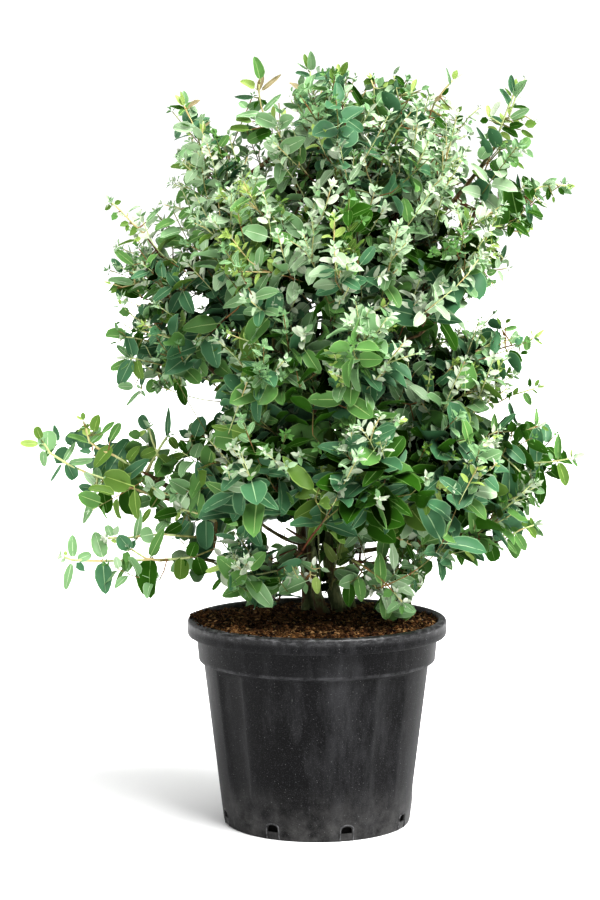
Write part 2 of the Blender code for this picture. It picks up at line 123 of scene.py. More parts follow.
class Nodes:
    """Short ways to add and join shader nodes."""

    def __init__(self, mat):
        self.tree = mat.node_tree
        self.shader = self.tree.nodes["Principled BSDF"]
        self.place = self.add("ShaderNodeTexCoord").outputs["Object"]

    def add(self, kind, **values):
        node = self.tree.nodes.new(kind)
        for key, value in values.items():
            setattr(node, key, value)
        return node

    def link(self, a, b):
        self.tree.links.new(a, b)

    def noise(self, scale, detail=4.0, rough=0.55, stretch=None):
        node = self.add("ShaderNodeTexNoise")
        node.inputs["Scale"].default_value = scale
        node.inputs["Detail"].default_value = detail
        node.inputs["Roughness"].default_value = rough
        source = self.place
        if stretch:
            mapping = self.add("ShaderNodeMapping")
            mapping.inputs["Scale"].default_value = stretch
            self.link(source, mapping.inputs["Vector"])
            source = mapping.outputs["Vector"]
        self.link(source, node.inputs["Vector"])
        return node.outputs["Fac"]

    def dots(self, scale, size):
        """Small round specks, 1 in the middle of each."""
        node = self.add("ShaderNodeTexVoronoi")
        node.inputs["Scale"].default_value = scale
        self.link(self.place, node.inputs["Vector"])
        near = self.ramp(node.outputs["Distance"], (size * 0.5, grey(1.0)), (size, grey(0.0)))
        pick = self.add("ShaderNodeSeparateColor")
        self.link(node.outputs["Color"], pick.inputs["Color"])
        some = self.ramp(pick.outputs["Red"], (0.62, grey(0.0)), (0.72, grey(1.0)))
        return self.times(near, some)

    def height(self, low, high):
        """1 at the low level, falling to 0 at the high one."""
        split = self.add("ShaderNodeSeparateXYZ")
        self.link(self.place, split.inputs["Vector"])
        span = self.add("ShaderNodeMapRange", clamp=True)
        span.inputs["From Min"].default_value = low
        span.inputs["From Max"].default_value = high
        span.inputs["To Min"].default_value = 1.0
        span.inputs["To Max"].default_value = 0.0
        self.link(split.outputs["Z"], span.inputs["Value"])
        return span.outputs["Result"]

    def times(self, a, b):
        node = self.add("ShaderNodeMath", operation="MULTIPLY")
        self.link(a, node.inputs[0])
        if isinstance(b, float):
            node.inputs[1].default_value = b
        else:
            self.link(b, node.inputs[1])
        return node.outputs[0]

    def ramp(self, fac, *stops):
        node = self.add("ShaderNodeValToRGB")
        marks = node.color_ramp.elements
        while len(marks) < len(stops):
            marks.new(0.5)
        for mark, (place, colour) in zip(marks, stops):
            mark.position = place
            mark.color = colour
        self.link(fac, node.inputs["Fac"])
        return node.outputs["Color"]

    def mix(self, fac, a, b):
        node = self.add("ShaderNodeMix", data_type="RGBA")
        for value, socket in ((fac, node.inputs[0]), (a, node.inputs[6]), (b, node.inputs[7])):
            if isinstance(value, (tuple, float, int)):
                socket.default_value = value
            else:
                self.link(value, socket)
        return node.outputs[2]

    def bump(self, height, distance, strength=1.0):
        node = self.add("ShaderNodeBump")
        node.inputs["Distance"].default_value = distance
        node.inputs["Strength"].default_value = strength
        self.link(height, node.inputs["Height"])
        self.link(node.outputs["Normal"], self.shader.inputs["Normal"])


def pot_material():
    mat = plain("black_plastic_looks", srgb(20, 20, 22), 0.4, 0.13)
    n = Nodes(mat)
    cloud = n.noise(7.0, 5.0, 0.6)
    tone = n.ramp(cloud, (0.35, srgb(3, 3, 4)), (0.72, srgb(18, 18, 20)))
    # Dust: faint upright smears, thicker towards the foot and on the collar.
    smear = n.noise(16.0, 6.0, 0.72, stretch=(1.0, 1.0, 0.22))
    streaks = n.ramp(smear, (0.48, grey(0.0)), (0.78, grey(0.60)))
    tone = n.mix(streaks, tone, srgb(74, 74, 76))
    # A worn, dusty edge under the collar and along its lower step.
    step = n.ramp(n.height(0.2490, 0.2580), (0.0, grey(0.0)), (0.30, grey(1.0)), (0.62, grey(1.0)), (1.0, grey(0.0)))
    worn = n.ramp(n.noise(44.0, 6.0, 0.75), (0.42, grey(0.0)), (0.66, grey(0.45)))
    tone = n.mix(n.times(step, worn), tone, srgb(96, 96, 98))
    low = n.times(n.height(0.004, 0.085), n.ramp(n.noise(38.0, 6.0, 0.7), (0.36, grey(0.08)), (0.66, grey(0.75))))
    tone = n.mix(low, tone, srgb(88, 87, 86))
    # Fine pale specks moulded into the black, and a few larger ones.
    fine = n.noise(760.0, 2.0, 0.5)
    tone = n.mix(n.ramp(fine, (0.58, grey(0.0)), (0.74, grey(0.48))), tone, srgb(92, 92, 94))
    tone = n.mix(n.dots(190.0, 0.13), tone, srgb(112, 112, 112))
    # Pale scuffs along the rim.
    high = n.ramp(n.height(0.292, 0.3167), (0.0, grey(1.0)), (0.5, grey(0.0)))
    scuff = n.ramp(n.noise(60.0, 7.0, 0.8, stretch=(1.0, 1.0, 3.0)), (0.48, grey(0.0)), (0.64, grey(0.8)))
    tone = n.mix(n.times(high, scuff), tone, srgb(126, 126, 128))
    n.link(tone, n.shader.inputs["Base Color"])
    sheen = n.ramp(smear, (0.35, grey(0.36)), (0.72, grey(0.54)))
    n.link(sheen, n.shader.inputs["Roughness"])
    # The rim is handled and rubbed, so it shines more than the wall.
    rubbed = n.ramp(n.height(0.300, 0.3167), (0.0, grey(0.60)), (0.9, grey(0.13)))
    n.link(rubbed, n.shader.inputs["Specular IOR Level"])
    n.bump(n.noise(360.0, 3.0), 0.00015, 0.3)
    return mat


def worn_edge_material():
    """The raised borders, rubbed paler than the wall."""
    mat = plain("worn_edge_looks", srgb(60, 60, 62), 0.5, 0.25)
    n = Nodes(mat)
    n.link(n.ramp(n.noise(90.0, 5.0, 0.7), (0.38, srgb(26, 26, 27)), (0.62, srgb(104, 104, 105))), n.shader.inputs["Base Color"])
    return mat


def peat_material(deep=False):
    mat = plain("compost_looks" if deep else "peat_looks", srgb(48, 30, 18), 0.95, 0.15)
    n = Nodes(mat)
    lump = n.noise(84.0, 9.0, 0.84)
    tone = n.ramp(
        lump,
        (0.38, srgb(12, 7, 3)),
        (0.48, srgb(66, 43, 23)),
        (0.56, srgb(134, 98, 60)),
        (0.67, srgb(204, 170, 126)),
    )
    # Lower down the compost darkens to near black: painted shade inside the pot, seen through the openings.
    if deep:
        tone = n.mix(n.height(0.262, 0.290), tone, srgb(5, 4, 3))
    n.link(tone, n.shader.inputs["Base Color"])
    n.bump(lump, 0.002, 0.9)
    return mat


def bark_material(name, dark, mid, light, red):
    mat = plain(name, mid, 0.82, 0.3)
    n = Nodes(mat)
    streak = n.noise(120.0, 6.0, 0.65, stretch=(1.0, 1.0, 0.14))
    patch = n.noise(36.0, 4.0, 0.6, stretch=(1.0, 1.0, 0.45))
    tone = n.ramp(streak, (0.30, dark), (0.52, mid), (0.74, light))
    flake = n.ramp(patch, (0.50, grey(0.0)), (0.58, grey(0.9)))
    tone = n.mix(flake, tone, red)
    n.link(tone, n.shader.inputs["Base Color"])
    n.bump(streak, 0.001, 0.8)
    return mat


# ---------------------------------------------------------------- mesh makers
def mesh_piece(name, verts, faces, mats, index=None, smooth=True, replaces=()):
    mesh = bpy.data.meshes.new(name)
    if isinstance(faces, np.ndarray):
        count, size = faces.shape
        mesh.vertices.add(len(verts))
        mesh.vertices.foreach_set("co", np.asarray(verts, np.float32).ravel())
        mesh.loops.add(count * size)
        mesh.loops.foreach_set("vertex_index", faces.astype(np.int32).ravel())
        mesh.polygons.add(count)
        mesh.polygons.foreach_set("loop_start", np.arange(0, count * size, size, dtype=np.int32))
    else:
        mesh.from_pydata([tuple(v) for v in verts], [], faces)
    mesh.polygons.foreach_set("use_smooth", np.full(len(mesh.polygons), smooth))
    for mat in mats:
        mesh.materials.append(mat)
    if index is not None:
        mesh.polygons.foreach_set("material_index", np.asarray(index, np.int32))
    mesh.update(calc_edges=True)
    obj = bpy.data.objects.new(name, mesh)
    bpy.context.scene.collection.objects.link(obj)
    if replaces:
        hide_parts(*replaces)
    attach(obj, "root")
    return obj


class Tubes:
    """Collects tapering tubes into one triangle mesh."""

    def __init__(self):
        self.verts, self.faces, self.index, self.count = [], [], [], 0

    def add(self, path, radii, sides=5, slot=0, cap=True):
        path = np.asarray(path, float)
        n = len(path)
        way = np.gradient(path, axis=0)
        way /= np.maximum(np.linalg.norm(way, axis=1, keepdims=True), 1e-9)
        ref = np.array((0.31, 0.86, 0.4))
        side = np.cross(way[0], ref)
        side /= np.linalg.norm(side)
        rings = []
        turn = np.arange(sides) * 2 * math.pi / sides
        for k in range(n):
            side = side - way[k] * side.dot(way[k])
            side /= max(np.linalg.norm(side), 1e-9)
            other = np.cross(way[k], side)
            rings.append(
                path[k]
                + radii[k] * (np.cos(turn)[:, None] * side + np.sin(turn)[:, None] * other)
            )
        verts = np.concatenate(rings)
        k, s = np.meshgrid(np.arange(n - 1), np.arange(sides), indexing="ij")
        k, s = k.ravel(), s.ravel()
        t = (s + 1) % sides
        a, b, c, d = k * sides + s, k * sides + t, (k + 1) * sides + t, (k + 1) * sides + s
        faces = [np.stack((a, b, c), 1), np.stack((a, c, d), 1)]
        if cap:
            verts = np.concatenate((verts, path[:1], path[-1:]))
            s = np.arange(sides)
            t = (s + 1) % sides
            low, high = n * sides, n * sides + 1
            faces.append(np.stack((t, s, np.full(sides, low)), 1))
            top = (n - 1) * sides
            faces.append(np.stack((top + s, top + t, np.full(sides, high)), 1))
        faces = np.concatenate(faces) + self.count
        self.verts.append(verts)
        self.faces.append(faces)
        self.index.append(np.full(len(faces), slot))
        self.count += len(verts)

    def done(self):
        return (
            np.concatenate(self.verts),
            np.concatenate(self.faces),
            np.concatenate(self.index),
        )


# ------------------------------------------------------------ what CAD says
def node_points(name):
    mesh = NODES[name].data
    points = np.empty(len(mesh.vertices) * 3, np.float32)
    mesh.vertices.foreach_get("co", points)
    world = np.array(NODES[name].matrix_world)
    return points.reshape(-1, 3) @ world[:3, :3].T + world[:3, 3]


STEMS = sorted(n for n in NODES if n.startswith("stem_"))
BOUGHS = sorted(n for n in NODES if n.startswith("bough_"))
MASSES = sorted(n for n in NODES if n not in ("pot", "soil", *STEMS, *BOUGHS))


def rings_of(name, along, least):
    """Centres and radii of a limb's rings, from its node's own points."""
    points = node_points(name)
    place = (points - points.mean(0)) @ along
    order = np.argsort(place)
    groups, group = [], [order[0]]
    for a, b in zip(order, order[1:]):
        if place[b] - place[a] > least:
            groups.append(group)
            group = []
        group.append(b)
    groups.append(group)
    centres, radii = [], []
    for group in groups:
        if len(group) < 4:
            continue
        middle = (points[group].max(0) + points[group].min(0)) / 2
        centres.append(middle)
        radii.append(np.linalg.norm(points[group] - middle, axis=1).mean())
    return np.array(centres), np.array(radii)


def smooth_line(points, values, step):
    """A Catmull-Rom line through the points, and the values along it."""
    points, values = np.asarray(points), np.asarray(values)
    out, along = [], []
    last = len(points) - 1
    for k in range(last):
        p = [points[min(max(k + i, 0), last)] for i in (-1, 0, 1, 2)]
        a, b = (p[2] - p[0]) / 2, (p[3] - p[1]) / 2
        count = max(2, int(np.linalg.norm(p[2] - p[1]) / step))
        for u in np.arange(count) / count:
            out.append(
                p[1] * (2 * u**3 - 3 * u**2 + 1)
                + a * (u**3 - 2 * u**2 + u)
                + p[2] * (3 * u**2 - 2 * u**3)
                + b * (u**3 - u**2)
            )
            along.append(values[k] * (1 - u) + values[k + 1] * u)
    out.append(points[-1])
    along.append(values[-1])
    return np.array(out), np.array(along)


STEM_LINES = {n: smooth_line(*rings_of(n, UP, 0.0035), 0.004) for n in STEMS}


def bough_line(name):
    points = node_points(name)
    middle = points.mean(0)
    along = np.linalg.svd(points - middle, full_matrices=False)[2][0]
    stems = np.concatenate([line for line, _ in STEM_LINES.values()])
    ends = [points[np.argmin(points @ along)], points[np.argmax(points @ along)]]
    near = [np.linalg.norm(stems - e, axis=1).min() for e in ends]
    if near[0] > near[1]:
        along = -along
    centres, radii = rings_of(name, along, 0.006)
    foot = stems[np.argmin(np.linalg.norm(stems - centres[0], axis=1))]
    centres = np.concatenate((foot[None], centres))
    radii = np.concatenate((radii[:1] * 1.15, radii))
    return smooth_line(centres, radii, 0.008)


BOUGH_LINES = {n: bough_line(n) for n in BOUGHS}


# ------------------------------------------------------------------ foliage
SHOOTS_PER_LITRE = 10.4
SPARSE = {"left_arm": 0.10, "left_arm_tip": 0.01, "low_arm": 0.10, "low_arm_tip": 0.01, "right_tip": 0.06,
          "right_spray": 0.35, "top_right_tip": 0.35, "top_left_tip": 0.4, "right_skirt": 0.8, "right_low": 0.9,
          "skirt_left": 0.7, "skirt_right": 0.7}
LARGE_LEAVED = ("left_arm", "left_arm_tip", "low_arm", "low_arm_tip", "low_left_inner", "skirt_left")

# Gaps where the sky shows through: middle and half sizes, in the photograph's
# 600 x 900 frame.
SKY = (
    (194, 405, 28, 24), (276, 532, 20, 12), (198, 304, 8, 10), (165, 550, 11, 8), (276, 347, 8, 10),
    (470, 150, 6, 13), (487, 416, 7, 11), (503, 410, 8, 9), (134, 308, 8, 9), (506, 335, 7, 7),
    (372, 550, 7, 11), (352, 97, 6, 7), (396, 569, 7, 6), (458, 520, 6, 12), (497, 514, 6, 8),
    (79, 452, 10, 7), (112, 552, 6, 7), (139, 546, 5, 7), (484, 247, 5, 8), (484, 130, 7, 7),
    (214, 487, 5, 8), (207, 555, 5, 9), (166, 446, 6, 7),
)
# The crown's outline in the same frame, read off the photograph;
# nothing grows past it.
OUTLINE = np.array((
    (186, 84), (200, 98), (212, 118), (222, 138), (232, 126), (240, 108), (237, 84), (248, 58), (262, 60),
    (283, 70), (274, 94), (282, 106), (292, 96), (289, 80), (299, 66), (307, 49), (322, 60), (340, 56),
    (351, 70), (366, 70), (384, 78), (398, 65), (412, 78), (430, 83), (445, 87), (449, 65), (463, 71),
    (456, 94), (463, 110), (472, 119), (478, 105), (490, 101), (501, 101), (502, 84), (508, 71), (527, 77),
    (526, 98), (537, 118), (529, 135), (537, 150), (523, 163), (504, 170), (515, 171), (530, 177), (545, 171),
    (577, 181), (573, 193), (557, 203), (546, 209), (537, 229), (522, 237), (509, 231), (502, 241), (509, 246),
    (515, 262), (506, 282), (493, 297), (473, 305), (458, 309), (454, 317), (470, 322), (485, 311), (500, 309),
    (512, 321), (530, 321), (548, 329), (542, 350), (531, 362), (522, 376), (535, 372), (549, 382), (541, 397),
    (530, 406), (517, 404), (523, 418), (532, 414), (540, 399), (551, 414), (553, 429), (561, 429), (568, 444),
    (586, 450), (583, 463), (575, 471), (573, 491), (560, 487), (552, 471), (549, 490), (546, 509), (530, 504),
    (522, 514), (535, 511), (549, 527), (539, 546), (529, 563), (512, 557), (501, 552), (497, 567), (480, 562),
    (467, 562), (457, 570), (451, 583), (440, 578), (428, 564), (421, 567), (425, 581), (415, 599), (415, 617),
    (396, 615), (384, 623), (372, 606), (352, 601), (350, 626), (300, 626), (300, 603), (277, 603), (269, 611),
    (248, 607), (236, 599), (216, 595), (209, 584), (196, 587), (172, 581), (160, 585), (150, 599), (136, 597),
    (130, 583), (116, 591), (104, 599), (94, 591), (91, 571), (81, 573), (71, 587), (59, 593), (59, 573),
    (49, 558), (58, 545), (67, 540), (70, 531), (78, 533), (83, 546), (89, 543), (87, 530), (96, 521),
    (112, 523), (125, 528), (129, 521), (120, 513), (104, 517), (79, 525), (79, 512), (83, 500), (75, 490),
    (77, 477), (64, 475), (57, 468), (46, 487), (48, 470), (36, 463), (34, 451), (13, 445), (21, 419),
    (36, 411), (54, 423), (65, 434), (71, 429), (69, 411), (84, 401), (104, 410), (120, 418), (128, 430),
    (137, 428), (137, 409), (153, 411), (161, 427), (172, 431), (181, 422), (191, 412), (209, 414), (212, 403),
    (211, 386), (200, 379), (191, 388), (187, 407), (175, 403), (171, 389), (160, 395), (146, 397), (128, 411),
    (119, 403), (111, 387), (105, 366), (113, 350), (101, 340), (105, 320), (115, 312), (111, 296), (97, 286),
    (103, 270), (111, 262), (109, 248), (119, 230), (103, 214), (99, 191), (110, 187), (124, 201), (140, 199),
    (157, 206), (167, 195), (163, 166), (173, 150), (167, 128), (165, 96),
), float)
# Nothing in front of the stems' feet.
STEMS_SHOW = (323, 572, 22, 40)

# The outermost shoots: depth, places from inside to tip in the same frame,
# leaf length, form, spacing of the pairs.
LEADERS = {
    "top_left_b": (0.02, ((228, 165), (222, 135), (214, 114)), 0.026, "oval", 0.018),
    "top_spray_c": (0.0, ((262, 212), (263, 186), (268, 160)), 0.032, "oval", 0.018),
    "top_spray_d": (0.03, ((292, 200), (284, 180), (277, 164)), 0.034, "ovate", 0.020),
    "mid_left_a": (-0.08, ((192, 350), (166, 335), (142, 324)), 0.050, "ovate", 0.022),
    "mid_left_b": (-0.09, ((206, 384), (182, 374), (154, 364)), 0.052, "ovate", 0.024),
    "mid_left_c": (-0.06, ((182, 290), (162, 278), (142, 264)), 0.040, "oval", 0.020),
    "mid_left_d": (-0.08, ((226, 318), (206, 338), (184, 362)), 0.054, "ovate", 0.024),
    "mid_right_a": (-0.08, ((420, 402), (438, 382), (454, 364)), 0.048, "ovate", 0.022),
    "mid_right_b": (-0.07, ((438, 420), (462, 406), (482, 394)), 0.046, "ovate", 0.022),
    "mid_right_c": (-0.06, ((452, 450), (478, 440), (500, 430)), 0.044, "oval", 0.022),
    "mid_right_d": (-0.10, ((398, 402), (410, 380), (424, 358)), 0.046, "oval", 0.022),
    "notch_a": (0.00, ((426, 350), (450, 340), (474, 334)), 0.032, "oval", 0.018),
    "notch_b": (-0.03, ((442, 372), (470, 354), (498, 340)), 0.036, "ovate", 0.018),
    "right_mid_a": (0.0, ((468, 414), (490, 402), (507, 388)), 0.030, "oval", 0.018),
    "left_mid_a": (0.0, ((168, 384), (156, 366), (146, 346)), 0.034, "ovate", 0.020),
    "left_arm_j": (0.01, ((230, 503), (208, 516), (182, 527)), 0.048, "ovate", 0.026),
    "right_upper_d": (0.0, ((480, 268), (496, 270), (507, 268)), 0.026, "oval", 0.016),
    "top_left_c": (-0.04, ((224, 190), (196, 168), (180, 158)), 0.032, "ovate", 0.022),
    "top_spray_b": (0.01, ((272, 128), (276, 104), (282, 84)), 0.034, "lance", 0.022),
    "top_f": (0.00, ((452, 138), (468, 118), (479, 108)), 0.020, "oval", 0.014),
    "right_top_c": (0.00, ((506, 118), (520, 114), (533, 121)), 0.022, "oval", 0.015),
    "right_upper_b": (0.00, ((464, 252), (484, 272), (496, 289)), 0.020, "oval", 0.014),
    "right_upper_c": (0.00, ((448, 268), (458, 290), (464, 308)), 0.022, "oval", 0.015),
    "right_low_b": (0.00, ((455, 534), (486, 536), (510, 536)), 0.034, "ovate", 0.022),
    "right_skirt_a": (-0.02, ((418, 540), (436, 552), (446, 562)), 0.036, "ovate", 0.022),
    "upper_left_a": (0.00, ((216, 205), (196, 192), (178, 182)), 0.034, "ovate", 0.022),
    "upper_left_b": (-0.02, ((212, 228), (190, 212), (174, 206)), 0.030, "ovate", 0.020),
    "upper_left_c": (0.02, ((214, 172), (196, 158), (182, 152)), 0.034, "ovate", 0.022),
    "inner_left_a": (-0.02, ((240, 446), (216, 436), (196, 428)), 0.046, "oval", 0.026),
    "inner_left_b": (-0.03, ((240, 462), (216, 456), (200, 448)), 0.046, "ovate", 0.026),
    "left_arm_i": (-0.05, ((132, 488), (110, 500), (92, 510)), 0.046, "oval", 0.028),
    "left_up_b": (0.00, ((172, 236), (163, 222), (157, 214)), 0.034, "lance", 0.018),
    "right_spray_c": (0.00, ((490, 226), (508, 230), (522, 232)), 0.030, "ovate", 0.018),
    "behind_stems_a": (0.07, ((352, 512), (342, 538), (336, 560)), 0.038, "ovate", 0.018),
    "behind_stems_b": (0.09, ((330, 505), (334, 530), (340, 552)), 0.040, "oval", 0.018),
    "before_bough_a": (-0.03, ((352, 520), (360, 540), (366, 560)), 0.034, "ovate", 0.018),
    "before_bough_c": (-0.09, ((366, 560), (360, 575), (352, 588)), 0.036, "ovate", 0.018),
    "left_arm_g": (-0.06, ((214, 476), (196, 462), (182, 452)), 0.044, "ovate", 0.026),
    "left_arm_h": (-0.02, ((206, 500), (178, 486), (160, 470)), 0.046, "oval", 0.028),
}
